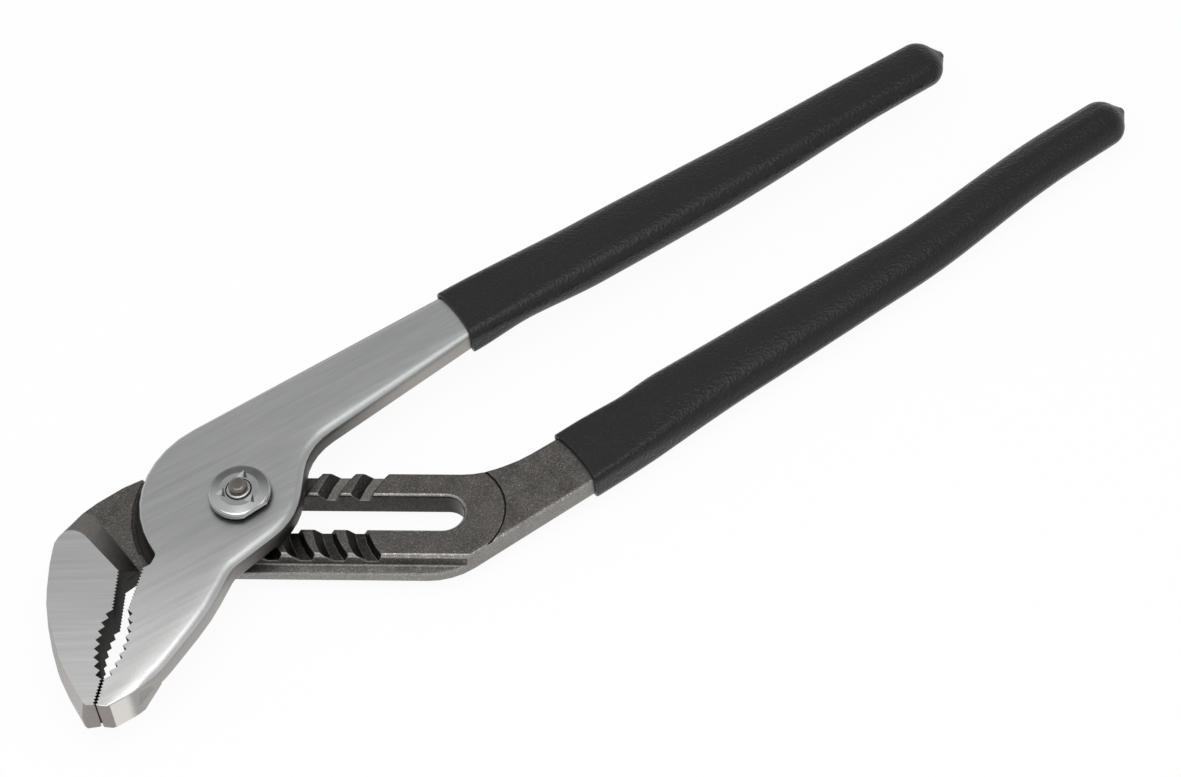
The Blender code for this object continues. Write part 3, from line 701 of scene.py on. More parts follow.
@dataclass
class Teeth:
    """A row of teeth, as jaw points. Its steel is on the left of the way from start to end.

    Attributes:
        start: First tooth tip.
        end: Where the row ends.
    """

    start: tuple[float, float]
    end: tuple[float, float]

    @property
    def along(self) -> Vector:
        """Gives the way from start to end."""
        return Vector(self.end) - Vector(self.start)

    @property
    def inward(self) -> Vector:
        """Gives the direction into the steel."""
        return Vector((-self.along.y, self.along.x)).normalized()

    def shown(self, point: Vector) -> Vector | None:
        """Gives a corner of the node its place in the copy.

        Args:
            point: The corner, as a jaw point.

        Returns:
            Its place in the copy, or None where it isn't a corner of the row.
        """
        raise NotImplementedError

    def recut(self, bm: bmesh.types.BMesh, root: Vector) -> int:
        """Moves the corners of the row.

        Args:
            bm: Mesh of the lever.
            root: Place of the jaw points' origin in the slot frame.

        Returns:
            Number of moved corners.
        """
        moved = 0
        for corner in bm.verts:
            at = SLOT.local(corner.co)
            place = self.shown(at.xy - root)
            if place is not None:
                corner.co = SLOT.world((*(place + root), at.z))
                moved += 1
        return moved


@dataclass
class FineTeeth(Teeth):
    """A row of fine teeth.

    The node's teeth are finer than those of the photograph, so the copy's corners move to fewer teeth.

    Attributes:
        given: Number of teeth of the node.
        kept: Number of teeth of the copy.
        depths: Depth of the node's teeth and of the copy's.
        slack: How far from its place a corner of the node may lie.
    """

    given: int
    kept: int
    depths: tuple[float, float] = (0.35, 0.52)
    slack: float = 0.12

    @cached_property
    def places(self) -> list[float]:
        """Gives each corner of the node its place in the copy.

        Returns:
            The places, counted in corners of the copy.
        """
        spare = 2 * (self.given - self.kept)
        halves = [math.floor(k * 2 * self.kept / spare) + 0.5 for k in range(spare)]
        return sorted([float(k) for k in range(2 * self.kept)] + halves)

    def shown(self, point: Vector) -> Vector | None:
        """Gives a corner its place among fewer teeth. See Teeth.shown."""
        step = self.along / (2 * self.given)
        offset = point - Vector(self.start)
        count = offset.dot(step) / step.length_squared
        k = round(count)
        extra = offset.dot(self.inward) - self.depths[0] * (k % 2)
        off = max(abs(count - k) * step.length, abs(extra))
        if off >= self.slack or not 0 <= k < len(self.places):
            return None
        deep = self.depths[1] * (1 - abs(self.places[k] % 2 - 1)) + extra
        return Vector(self.start) + self.along * self.places[k] / (2 * self.kept) + self.inward * deep


@dataclass
class CoarseTeeth(Teeth):
    """The row of coarse teeth of a jaw.

    The node's valleys lean more than those of the photograph, so the copy's valleys move along the row.

    Attributes:
        leans: Place of a valley on the way to the next tooth tip, in the node and in the copy.
        count: Number of teeth.
        depth: Depth of a tooth.
        bow: Hollow of the row.
        slack: How far from its place a corner of the node may lie.
    """

    leans: tuple[float, float]
    count: int = 8
    depth: float = 1.3
    bow: float = 1.9
    slack: float = 0.3

    def valley(self, k: int, lean: float) -> Vector:
        """Gives the place of a valley.

        Args:
            k: Its number.
            lean: Its place on the way to the next tooth tip.

        Returns:
            The place, as a jaw point.
        """
        share = (k + lean) / self.count
        deep = 4 * self.bow * share * (1 - share) + self.depth
        return Vector(self.start) + self.along * share + self.inward * deep

    @cached_property
    def valleys(self) -> list[list[Vector]]:
        """Gives the place of each valley in the node and in the copy."""
        return [[self.valley(k, lean) for lean in self.leans] for k in range(self.count)]

    def shown(self, point: Vector) -> Vector | None:
        """Moves a valley along the row. See Teeth.shown."""
        for old, new in self.valleys:
            if (point - old).length < self.slack:
                return point - old + new
        return None


@dataclass
class Mouth:
    """Toothed edge of a jaw, as jaw points.

    Attributes:
        line: Corners of the edge from its throat to its tip.
        side: 1 where the steel lies to the right of it, -1 where it lies to the left.
        fine: Its rows of fine teeth.
        coarse: Its row of coarse teeth.
        depth: How far the teeth and their hollow reach into the steel.
        proud: How far a tooth's tip may stand over the edge.
        root: Place of the jaw points' origin in the slot frame.
    """

    line: tuple[tuple[float, float], ...]
    side: int
    fine: tuple[FineTeeth, ...]
    coarse: CoarseTeeth
    depth: float = 3.8
    proud: float = 0.6
    root: tuple[float, float] = (-19.304, -19.304)

    def holds(self, at: Vector) -> bool:
        """Says whether a point lies on the toothed edge.

        Args:
            at: Point in the slot frame.

        Returns:
            True on the edge.
        """
        x, y = self.jaw_point(at)
        for (x0, y0), (x1, y1) in zip(self.line, self.line[1:]):
            if y1 <= y <= y0:
                edge = x0 + (x1 - x0) * (y - y0) / (y1 - y0)
                return -self.proud < (x - edge) * self.side < self.depth
        return False

    def jaw_point(self, at: Vector) -> tuple[float, float]:
        """Gives a point of the slot frame as a jaw point."""
        return at.x - self.root[0], at.y - self.root[1]

    def recut(self, bm: bmesh.types.BMesh) -> None:
        """Recuts the teeth in a lever's mesh."""
        for row in (*self.fine, self.coarse):
            LOG.info("%d corners of a row of teeth recut", row.recut(bm, Vector(self.root)))

    def past_tip(self, at: Vector) -> bool:
        """Says whether a point lies on the tip's end."""
        return self.jaw_point(at)[1] < self.line[-1][1]


@dataclass
class Lever(SteelPiece):
    """A lever with its jaw.

    Attributes:
        mouth: Toothed edge of its jaw.
    """

    _: KW_ONLY
    mouth: Mouth

    def refine(self, bm: bmesh.types.BMesh) -> None:
        """Recuts the teeth. See SteelPiece.refine."""
        self.mouth.recut(bm)


@dataclass
class FrontLever(Lever):
    """The ground lever in front: jaw, boss, shank and the steel in its sleeve.

    Attributes:
        bore: Radius within which walls belong to the bolt's hole.
        round_end: Slope of a rounded edge below which it looks like the side.
        side_end: Where the jaw's side ends and the shaded side of boss and shank starts.
        nose: Where the end of the jaw's side starts, which gets a painted highlight.
    """

    bore: float = 5.3
    round_end: float = 0.65
    side_end: float = -14.0
    nose: float = -57.0

    def zone(self, at: Vector, out: Vector) -> Zone:
        """Picks the zone of a face. See SteelPiece.zone."""
        seen = out.z > -STEEP
        tests = (
            # Painted shade on the walls of the bolt's bore.
            (Zone.CUT, at.xy.length < self.bore and abs(out.z) < WALL),
            (Zone.FACE, out.z > self.round_end),
            (Zone.TIP, seen and self.mouth.past_tip(at)),
            (Zone.TEETH, seen and self.mouth.holds(at)),
            (Zone.NOSE, at.y < self.nose and abs(out.z) < STEEP),
            (Zone.UNDER, seen and at.y > self.side_end),
        )
        return next((zone for zone, fits in tests if fits), Zone.SIDE)


@dataclass
class SlottedLever(Lever):
    """The forged lever behind: jaw, neck, grooved rails, slot and the steel in its sleeve.

    Attributes:
        ground: Height over which a level face belongs to the ground jaw.
        land: Height of its lands.
        tooth_end: Height down to which the jaw's edge is cut into teeth.
        jaw_side: X and y under which walls belong to the jaw's outer side.
        neck: X under which slopes lead from the jaw to the neck.
        slope: Least and greatest upright part of such a slope's normal.
        slope_end: Height of such a slope's foot over the lands.
        slot_half: Half width of the slot with its rim.
        slot_ends: Ends of the slot with its rim.
        bevel: Least and greatest upright part of the normal of a land's rounded edge.
        bevel_end: How far under the lands such an edge reaches.
        ledge: Depth of the ledge under the lands.
        rail_bottom: Height of the lower rail's outer side.
        handle: X from which on the lower flank belongs to the handle.
        handle_turn: Direction of its handle, in degrees.
        flank: Upright part of a normal under which a face belongs to the flank.
        flank_turn: How far such a face of the handle looks down the flank's way.
        seats: Places of the seats along the slot.
        groove: Inner and outer radius of a groove round its seat.
        groove_end: Y down to which the grooves reach.
        groove_depth: Depth of the grooves under the lands, with a margin.
        relief: Inner and outer radius of the groove at the step before the handle, round the last seat.
        relief_depth: Depth of that groove's floor.
        relief_wall: Least and greatest depth of its wall.
        relief_start: How far past the last seat its floor starts.
        throat: Lowest and highest jaw point of the wall and slope beside the throat, which get painted
            shade.
        ring: Inner and outer radius of the sunk ring between boss and neck, whose floor gets painted shade.
        ring_end: X under which that ring lies.
    """

    ground: float = -0.2
    land: float = -6.4
    tooth_end: float = -9.5
    jaw_side: tuple[float, float] = (-25.0, -12.0)
    neck: float = -20.0
    slope: tuple[float, float] = (0.15, 0.95)
    slope_end: float = 0.9
    slot_half: float = 5.95
    slot_ends: tuple[float, float] = (-6.0, 56.0)
    bevel: tuple[float, float] = (0.2, 0.97)
    bevel_end: float = 1.2
    ledge: float = 1.0
    rail_bottom: float = -15.0
    handle: float = 50.0
    handle_turn: float = 39.7
    flank: float = 0.8
    flank_turn: float = 0.4
    seats: tuple[float, ...] = tuple(8.25 * k for k in range(7))
    groove: tuple[float, float] = (18.7, 24.5)
    groove_end: float = -12.6
    groove_depth: float = 2.4
    relief: tuple[float, float] = (14.9, 15.6)
    relief_depth: float = 0.3
    relief_wall: tuple[float, float] = (-0.19, 0.5)
    relief_start: float = 10.0
    throat: tuple[tuple[float, float], tuple[float, float]] = ((-8.4, -4.2), (-0.8, 3.2))
    ring: tuple[float, float] = (22.5, 27.6)
    ring_end: float = -10.0

    NEAR = 0.05  # height within which a face lies level with a land or a floor

    def zone(self, at: Vector, out: Vector) -> Zone:
        """Picks the zone of a face. See SteelPiece.zone."""
        upward, seen, wall = out.z > UPWARD, out.z > -STEEP, abs(out.z) < WALL
        depth = self.land - at.z
        grooved = self.NEAR < depth < self.groove_depth and at.y > self.groove_end and self.in_groove(at)
        tests = (
            (Zone.FACE, upward and at.z > self.ground),
            (Zone.TIP, seen and self.mouth.past_tip(at)),
            (Zone.TEETH, seen and at.z > self.tooth_end and self.mouth.holds(at)),
            (Zone.SIDE, wall and out.x < -WALL and at.x < self.jaw_side[0] and at.y < self.jaw_side[1]),
            # Painted shade in the groove at the step before the handle.
            (Zone.LINE, self.in_relief(at, out)),
            # Painted shade beside the throat and on the sunk ring's floor.
            (Zone.TEETH, (abs(out.z) < STEEP and self.in_throat(at)) or self.in_ring(at, out)),
            (Zone.SLOPE, self.in_slope(at, out)),
            (Zone.FLOOR, grooved and upward and at.y > 0.0),
            # Painted shade in the grooves and on the slot's walls.
            (Zone.CUT, grooved),
            (Zone.CUT, wall and self.in_slot(at)),
            (Zone.EDGE, self.bevel[0] < out.z < self.bevel[1] and -2 * self.NEAR < depth < self.bevel_end),
            (Zone.LEDGE, upward and depth > self.ledge and at.y < -self.slot_half),
            (Zone.FLANK, abs(out.z) < self.flank and self.on_flank(at, out)),
        )
        return next((zone for zone, fits in tests if fits), Zone.BODY)

    def in_slope(self, at: Vector, out: Vector) -> bool:
        """Says whether a face belongs to the slopes between jaw and neck."""
        leans = self.slope[0] < out.z < self.slope[1] and at.x < self.neck
        return leans and self.land + self.slope_end < at.z < -2 * self.NEAR

    def in_slot(self, at: Vector) -> bool:
        """Says whether a point lies in the slot."""
        return abs(at.y) < self.slot_half and self.slot_ends[0] < at.x < self.slot_ends[1]

    def on_flank(self, at: Vector, out: Vector) -> bool:
        """Says whether a steep face lies on the lower side of rail or handle.

        Args:
            at: Middle of the face in the slot frame.
            out: Its normal in the slot frame.

        Returns:
            True on that side.
        """
        turn = math.radians(self.handle_turn)
        below = Vector((math.sin(turn), -math.cos(turn)))
        return at.y < self.rail_bottom or (at.x > self.handle and out.xy.dot(below) > self.flank_turn)

    def in_throat(self, at: Vector) -> bool:
        """Says whether a point lies on the wall or the slope beside the throat.

        Args:
            at: Point in the slot frame.

        Returns:
            True on one of them.
        """
        (x0, y0), (x1, y1) = self.throat
        x, y = self.mouth.jaw_point(at)
        return x0 < x < x1 and y0 < y < y1

    def in_ring(self, at: Vector, out: Vector) -> bool:
        """Says whether a face is the floor of the sunk ring beside the neck."""
        floor = out.z > UPWARD and abs(at.z - self.land) < 5 * self.NEAR
        return floor and at.x < self.ring_end and self.ring[0] < at.xy.length < self.ring[1]

    def in_relief(self, at: Vector, out: Vector) -> bool:
        """Says whether a face belongs to the groove at the step before the handle.

        Args:
            at: Middle of the face in the slot frame.
            out: Its normal in the slot frame.

        Returns:
            True on the groove's floor and wall.
        """
        beyond = Vector((at.x - self.seats[-1], at.y))
        depth = self.land - at.z
        floor = out.z > UPWARD and abs(depth - self.relief_depth) < self.NEAR
        wall = self.relief[0] < beyond.length < self.relief[1] and beyond.x > 0.0
        sunk = self.relief_wall[0] < depth < self.relief_wall[1]
        return (floor and beyond.x > self.relief_start) or (wall and sunk)

    def in_groove(self, at: Vector) -> bool:
        """Says whether a point lies in one of the grooves."""
        reach = [math.hypot(at.x - seat, at.y) for seat in self.seats if at.x < seat]
        return any(self.groove[0] < r < self.groove[1] for r in reach)


@dataclass
class PlatedFastener(SteelPiece):
    """The pivot's bolt or nut.

    Attributes:
        bead: Height at which the bolt's turned-down end starts.
        face: Height over which the nut's face lies.
        marks: Inner and outer radius of the punched marks.
        punched: Least and greatest upright part of the normal of a mark.
        cone: The same of the turned cone round the nut's flat middle, which gets a painted gradient of
            reflection and shade.
    """

    bead: float = 3.31
    face: float = 1.0
    marks: tuple[float, float] = (3.36, 6.3)
    punched: tuple[float, float] = (0.1, 0.95)
    cone: tuple[float, float] = (0.95, 0.995)

    def zone(self, at: Vector, out: Vector) -> Zone:
        """Picks the zone of a face. See SteelPiece.zone."""
        if at.z > self.bead:
            return Zone.BODY
        if at.z > self.face:
            if self.punched[0] < out.z < self.punched[1] and self.marks[0] < at.xy.length < self.marks[1]:
                # One flank of a mark gets painted highlight, the other painted shade.
                return Zone.EDGE if out.x > 0.0 else Zone.CUT
            if self.cone[0] < out.z < self.cone[1]:
                return Zone.SLOPE
        return Zone.FACE


@dataclass
class PivotNut(PlatedFastener):
    """The pivot's round nut, with the sharp edge of its dish and the chamfer under its rim.

    Attributes:
        dish: Radius of the flat middle of its face.
        seat: Height of its underside.
        chamfer: Height and width of the chamfer under its rim.
        slack: How far from the dish's edge its corners may lie.
    """

    dish: float = 5.0
    seat: float = 0.3
    chamfer: tuple[float, float] = (0.7, 0.7)
    slack: float = 0.03

    def refine(self, bm: bmesh.types.BMesh) -> None:
        """Cuts the chamfer. See SteelPiece.refine."""
        height, width = self.chamfer
        bmesh.ops.bisect_plane(
            bm, geom=[*bm.verts, *bm.edges, *bm.faces], dist=WELD,
            plane_co=SLOT.world((0.0, 0.0, self.seat + height)), plane_no=(0.0, 0.0, 1.0),
        )
        for corner in bm.verts:
            at = SLOT.local(corner.co)
            if at.z < self.seat + height / 2 and at.xy.length > self.dish:
                corner.co = SLOT.world((*(at.xy * (1 - width / at.xy.length)), at.z))

    def ridge(self, edge: bmesh.types.BMEdge) -> bool:
        """Says whether an edge belongs to the dish. See SteelPiece.ridge."""
        return all(abs(SLOT.local(end.co).xy.length - self.dish) < self.slack for end in edge.verts)

    def zone(self, at: Vector, out: Vector) -> Zone:
        """Picks the zone of a face. See SteelPiece.zone."""
        # The chamfer under the rim gets painted shade.
        return Zone.CUT if out.z < -WALL else super().zone(at, out)


def stretch(first: int, last: int) -> list[tuple[int, float]]:
    """Lists the rows after the first up to the last, each with its share of the way."""
    return [(row, (row - first) / (last - first)) for row in range(first + 1, last + 1)]


@dataclass
class Sleeve(Piece):
    """A dipped sleeve, drawn by a Geometry Nodes tree from its section and its run.

    Attributes:
        rim: Middle of the rim.
        turn: Direction of the sleeve, in degrees.
        length: Length with the end's drop.
        widths: Width at the rim and at the end.
        low: Back of the steel inside.
        high: Front of the steel inside.
        edges: Rounding of the steel's front and back edges at the rim.
        ends: The same near the end.
        sweep: Sideways bend near the end.
        flare: How much wider the lower side starts.
        swell: Swell of the upper side behind the rim.
        belly: Swell of the back behind the rim.
        wall: Thickness of the vinyl.
        gap: Gap round the steel.
        solid: Length of the solid end.
        lip: Rounding of the rim.
        bow: Hollow of the rim.
        fades: How far behind the rim its hollow has gone, inside and outside.
        crown: Share of a plain oval in the section past the rim.
        dome: Angle of the dome before the drop, in degrees.
        drop: Width, length and rounding of the drop at the end.
        uneven: Size and height of the dents of a dip.
    """

    rim: tuple[float, float]
    turn: float
    length: float
    widths: tuple[float, float]
    low: float
    high: float
    edges: tuple[float, float]
    ends: tuple[float, float]
    sweep: float
    flare: float = 0.0
    swell: float = 0.0
    belly: float = 0.0
    wall: float = 0.9
    gap: float = 0.3
    solid: float = 7.0
    lip: float = 0.4
    bow: float = 0.7
    fades: tuple[float, float] = (6.0, 4.0)
    crown: float = 0.45
    dome: float = 58.0
    drop: tuple[float, float, float] = (2.2, 1.3, 0.4)
    uneven: tuple[float, float] = (16.0, 0.16)

    AROUND = 64
    # Rows of the tree's grid at which the inner wall, its hollow, the rim's inner edge, the rim's rounding,
    # the skin, the dome, the drop and the drop's rounding start, and the last row
    INNER, HOLLOW, MOUTH, LIP, SKIN, DOME, DROP, ROUND, ALONG = 2, 12, 14, 16, 24, 104, 116, 124, 128
    LIP_END = 20  # row at which the rim's rounding ends
    # Columns of the tree's grid at which the section changes, with its angle as a share of a turn, the
    # share of the upper side and the share of the front edges
    SECTION = (
        (0, 0.0, 1.0, 1.0), (8, 0.25, 1.0, 1.0), (20, 0.25, 0.0, 1.0),
        (28, 0.5, 0.0, 1.0), (32, 0.5, 0.0, 0.0), (40, 0.75, 0.0, 0.0),
        (52, 0.75, 1.0, 0.0), (60, 1.0, 1.0, 0.0), (64, 1.0, 1.0, 1.0),
    )
    OVAL_START = 2  # columns by which the plain oval starts later
    # Values that change smoothly in a stretch of the sleeve, given in shares of its length: start and end
    CHANGES = (
        ("taper", 0.22, 1.04, "Rim Half Width", "End Half Width"),
        ("flare", 0.02, 0.3, "Flare", 0.0),
        ("front turn", 0.02, 0.3, "Rim Front Edge", "End Front Edge"),
        ("back turn", 0.0, 0.12, "Rim Back Edge", "End Back Edge"),
        ("rise", 0.1, 0.18, 0.0, "Swell"),
        ("fall", 0.2, 0.6, 1.0, 0.0),
        ("bend", 0.58, 0.88, 0.0, "Sweep"),
        ("belly rise", 0.1, 0.26, 0.0, "Belly"),
        ("belly fall", 0.45, 0.85, 1.0, 0.0),
        ("crown", 0.03, 0.25, 0.0, "Crown"),
    )
    # Sums that lead from these values to a point of the skin and to the size of its dents
    SUMS = (
        ("grow", "MULTIPLY_ADD", "wall", "Wall", "Gap"),
        ("half", "ADD", "taper", "grow"),
        ("swell", "MULTIPLY", "rise", "fall"),
        ("wide", "ADD", "half", "flare"),
        ("low", "MULTIPLY", "wide", -1.0),
        ("high", "ADD", "half", "swell"),
        ("front edge", "ADD", "front turn", "grow"),
        ("back edge", "ADD", "back turn", "grow"),
        ("edge step", "SUBTRACT", "front edge", "back edge"),
        ("edge", "MULTIPLY_ADD", "edge step", "front", "back edge"),
        ("lower arc", "ADD", "low", "edge"),
        ("upper arc", "SUBTRACT", "high", "edge"),
        ("breadth", "SUBTRACT", "upper arc", "lower arc"),
        ("middle", "MULTIPLY_ADD", "breadth", "upper", "lower arc"),
        ("tall", "ADD", "Half Height", "grow"),
        ("belly full", "MULTIPLY", "belly rise", "belly fall"),
        ("deep", "MULTIPLY_ADD", "belly full", "wall", "tall"),
        ("back arc", "SUBTRACT", "back edge", "deep"),
        ("front arc", "SUBTRACT", "tall", "front edge"),
        ("depth", "SUBTRACT", "front arc", "back arc"),
        ("level", "MULTIPLY_ADD", "depth", "front", "back arc"),
        ("radians", "MULTIPLY", "angle", math.tau),
        ("cosine", "COSINE", "radians"),
        ("sine", "SINE", "radians"),
        ("square x", "MULTIPLY_ADD", "edge", "cosine", "middle"),
        ("square z", "MULTIPLY_ADD", "edge", "sine", "level"),
        ("both sides", "ADD", "high", "low"),
        ("oval middle", "MULTIPLY", "both sides", 0.5),
        ("oval half", "SUBTRACT", "high", "oval middle"),
        ("oval angle", "MULTIPLY_ADD", "around", math.tau, math.tau * OVAL_START / AROUND),
        ("oval cosine", "COSINE", "oval angle"),
        ("oval sine", "SINE", "oval angle"),
        ("oval x", "MULTIPLY_ADD", "oval half", "oval cosine", "oval middle"),
        ("oval deep", "ADD", "tall", "deep"),
        ("oval tall", "MULTIPLY", "oval deep", 0.5),
        ("oval level", "SUBTRACT", "tall", "oval tall"),
        ("oval z", "MULTIPLY_ADD", "oval tall", "oval sine", "oval level"),
        ("oval share", "MULTIPLY", "crown", "wall"),
        ("to oval x", "SUBTRACT", "oval x", "square x"),
        ("to oval z", "SUBTRACT", "oval z", "square z"),
        ("full x", "MULTIPLY_ADD", "to oval x", "oval share", "square x"),
        ("full z", "MULTIPLY_ADD", "to oval z", "oval share", "square z"),
        ("across", "MULTIPLY", "size", "full x"),
        ("up", "MULTIPLY", "size", "full z"),
        ("ratio", "DIVIDE", "across", "half"),
        ("square", "MULTIPLY", "ratio", "ratio"),
        ("bulge", "SUBTRACT", 1.0, "square"),
        ("bow", "MULTIPLY", "Bow", "hollow"),
        ("dip", "MULTIPLY", "bow", "bulge"),
        ("place", "MULTIPLY_ADD", "share", "Length", "dip"),
        ("shift", "ADD", "across", "bend"),
        ("dent scale", "DIVIDE", 1.0, "Dent Size"),
    )

    def run(self) -> list[tuple[float, float, float, float, float]]:
        """Lists the rows of the grid at which the run changes.

        Returns:
            Row, place along the sleeve, share of the wall, size of the section, and share of the hollow.
        """
        core = self.length - self.solid
        deepest = core + self.gap
        rows = [
            (0, deepest, 0.0, 0.0, 0.0), (self.INNER, deepest, 0.0, 1.0, 0.0),
            (self.HOLLOW, self.fades[0], 0.0, 1.0, 0.0), (self.MOUTH, 0.0, 0.0, 1.0, 1.0),
        ]
        for row, share in ((self.LIP, 0.0), *stretch(self.LIP, self.LIP_END)):
            angle = math.radians(90 * share)
            wall = 1 - self.lip * (1 - math.sin(angle)) / self.wall
            rows.append((row, self.lip * (1 - math.cos(angle)), wall, 1.0, 1.0))
        rows += [(self.SKIN, self.fades[1], 1.0, 1.0, 0.0), (self.DOME, core, 1.0, 1.0, 0.0)]
        width, length, rounding = self.drop
        for row, share in stretch(self.DOME, self.DROP):
            angle = math.radians(self.dome * share)
            rows.append((row, core + (self.solid - length) * math.sin(angle), 1.0, math.cos(angle), 0.0))
        _, place, _, size, _ = rows[-1]
        tip = width / self.widths[1]
        for row, share in stretch(self.DROP, self.ROUND):
            end = place + (self.length - rounding - place) * share
            rows.append((row, end, 1.0, tip + (size - tip) * (1 - share), 0.0))
        for row, share in stretch(self.ROUND, self.ALONG):
            angle = math.radians(90 * share)
            end = self.length - rounding * (1 - math.sin(angle))
            rows.append((row, end, 1.0, tip * math.cos(angle), 0.0))
        return rows

    def inputs(self) -> dict[str, tuple[str, object]]:
        """Lists the named inputs of the tree.

        Returns:
            Socket kind and value of each, by its name.
        """
        deep = self.high - self.low
        skin = self.wall + self.gap
        lengths = {
            "Length": self.length, "Half Height": deep / 2,
            "Rim Half Width": self.widths[0] / 2 - skin, "End Half Width": self.widths[1] / 2 - skin,
            "Rim Front Edge": self.edges[0], "Rim Back Edge": self.edges[1],
            "End Front Edge": self.ends[0] * deep, "End Back Edge": self.ends[1] * deep,
            "Sweep": self.sweep, "Flare": self.flare, "Swell": self.swell, "Belly": self.belly,
            "Gap": self.gap, "Wall": self.wall, "Bow": self.bow,
            "Dent Size": self.uneven[0], "Dent Height": self.uneven[1],
        }
        listed = {name: ("NodeSocketFloat", value * MM) for name, value in lengths.items()}
        listed["Crown"] = ("NodeSocketFloat", self.crown)
        listed["Rim Middle"] = ("NodeSocketVector", SLOT.world((*self.rim, (self.low + self.high) / 2)))
        listed["Turn"] = ("NodeSocketFloat", SLOT.turn + math.radians(self.turn))
        listed["Material"] = ("NodeSocketMaterial", material_of(VINYL))
        return listed

    def tree(self) -> bpy.types.NodeTree:
        """Builds the tree that draws the sleeve.

        Returns:
            The tree.
        """
        tree = bpy.data.node_groups.new(self.name, "GeometryNodeTree")
        tree.interface.new_socket("Sleeve", in_out="OUTPUT", socket_type="NodeSocketGeometry")
        for name, (kind, _) in self.inputs().items():
            tree.interface.new_socket(name, in_out="INPUT", socket_type=kind)
        given = add(tree, "NodeGroupInput").outputs
        made = {name: given[name] for name in self.inputs()}
        grid = add(tree, "GeometryNodeMeshGrid", {
            "Size X": 1.0, "Size Y": 1.0, "Vertices X": self.AROUND + 1, "Vertices Y": self.ALONG + 1,
        }).outputs["Mesh"]
        cell = add(tree, "ShaderNodeSeparateXYZ", {0: add(tree, "GeometryNodeInputPosition").outputs[0]})
        for name, axis in (("around", 0), ("along", 1)):
            made[name] = add(tree, "ShaderNodeMath", {0: cell.outputs[axis], 1: 0.5}).outputs[0]
        for name, at, points in self.curves():
            node = add(tree, "ShaderNodeFloatCurve", {"Value": made[at]})
            curve = node.mapping.curves[0]
            curve.points[0].location, curve.points[1].location = points[0], points[-1]
            for point in points[1:-1]:
                curve.points.new(*point)
            for point in curve.points:
                point.handle_type = "VECTOR"
            node.mapping.update()
            made[name] = node.outputs[0]
        for name, low, high, start, end in self.CHANGES:
            made[name] = add(tree, "ShaderNodeMapRange", {
                "Value": made["share"], "From Min": low, "From Max": high,
                "To Min": made.get(start, start), "To Max": made.get(end, end),
            }, interpolation_type="SMOOTHSTEP").outputs["Result"]
        for name, operation, *terms in self.SUMS:
            sockets = {k: made.get(term, term) for k, term in enumerate(terms)}
            made[name] = add(tree, "ShaderNodeMath", sockets, operation=operation).outputs[0]
        point = add(tree, "ShaderNodeCombineXYZ", {0: made["place"], 1: made["shift"], 2: made["up"]})
        turned = add(tree, "ShaderNodeVectorRotate", {
            "Vector": point.outputs[0], "Angle": given["Turn"],
        }, rotation_type="Z_AXIS")
        moved = add(tree, "ShaderNodeVectorMath", {
            0: turned.outputs[0], 1: given["Rim Middle"],
        }, operation="ADD")
        mesh = add(tree, "GeometryNodeSetPosition", {
            "Geometry": grid, "Position": moved.outputs[0],
        }).outputs[0]
        mesh = add(tree, "GeometryNodeMergeByDistance", {"Geometry": mesh, "Distance": WELD}).outputs[0]
        dents = add(tree, "ShaderNodeTexNoise", {"Scale": made["dent scale"], "Detail": 2.0})
        push = dents.outputs["Fac"]
        for operation, term in (("SUBTRACT", 0.5), ("MULTIPLY", given["Dent Height"])):
            push = add(tree, "ShaderNodeMath", {0: push, 1: term}, operation=operation).outputs[0]
        offset = add(tree, "ShaderNodeVectorMath", {
            0: add(tree, "GeometryNodeInputNormal").outputs[0], "Scale": push,
        }, operation="SCALE")
        for kind, inputs in (
            ("SetPosition", {"Offset": offset.outputs[0]}), ("SetShadeSmooth", {}),
            ("RealizeInstances", {}), ("SetMaterial", {"Material": given["Material"]}),
        ):
            mesh = add(tree, "GeometryNode" + kind, {"Geometry": mesh, **inputs}).outputs[0]
        add(tree, "NodeGroupOutput", {0: mesh})
        return tree

    def curves(self) -> list[tuple[str, str, list[tuple[float, float]]]]:
        """Lists the curves of straight stretches.

        Returns:
            Name of each, what it runs over, and its points.
        """
        rows = [(row, place / self.length, *rest) for row, place, *rest in self.run()]
        listed = []
        for names, at, table, count in (
            (("angle", "upper", "front"), "around", self.SECTION, self.AROUND),
            (("share", "wall", "size", "hollow"), "along", rows, self.ALONG),
        ):
            for k, name in enumerate(names, 1):
                listed.append((name, at, [(row[0] / count, row[k]) for row in table]))
        return listed

    def build(self) -> bpy.types.Object:
        """Draws the sleeve and turns it into a plain mesh. See Piece.build."""
        piece = link(self.name, bpy.data.meshes.new(self.name))
        draw = piece.modifiers.new("sleeve", "NODES")
        draw.node_group = self.tree()
        values = self.inputs()
        for socket in draw.node_group.interface.items_tree:
            if socket.in_out == "INPUT":
                draw[socket.identifier] = values[socket.name][1]
        bake(piece)
        bm = bmesh.new()
        bm.from_mesh(piece.data)
        bmesh.ops.remove_doubles(bm, verts=bm.verts, dist=WELD)
        bmesh.ops.recalc_face_normals(bm, faces=bm.faces)
        bm.to_mesh(piece.data)
        bm.free()
        return piece


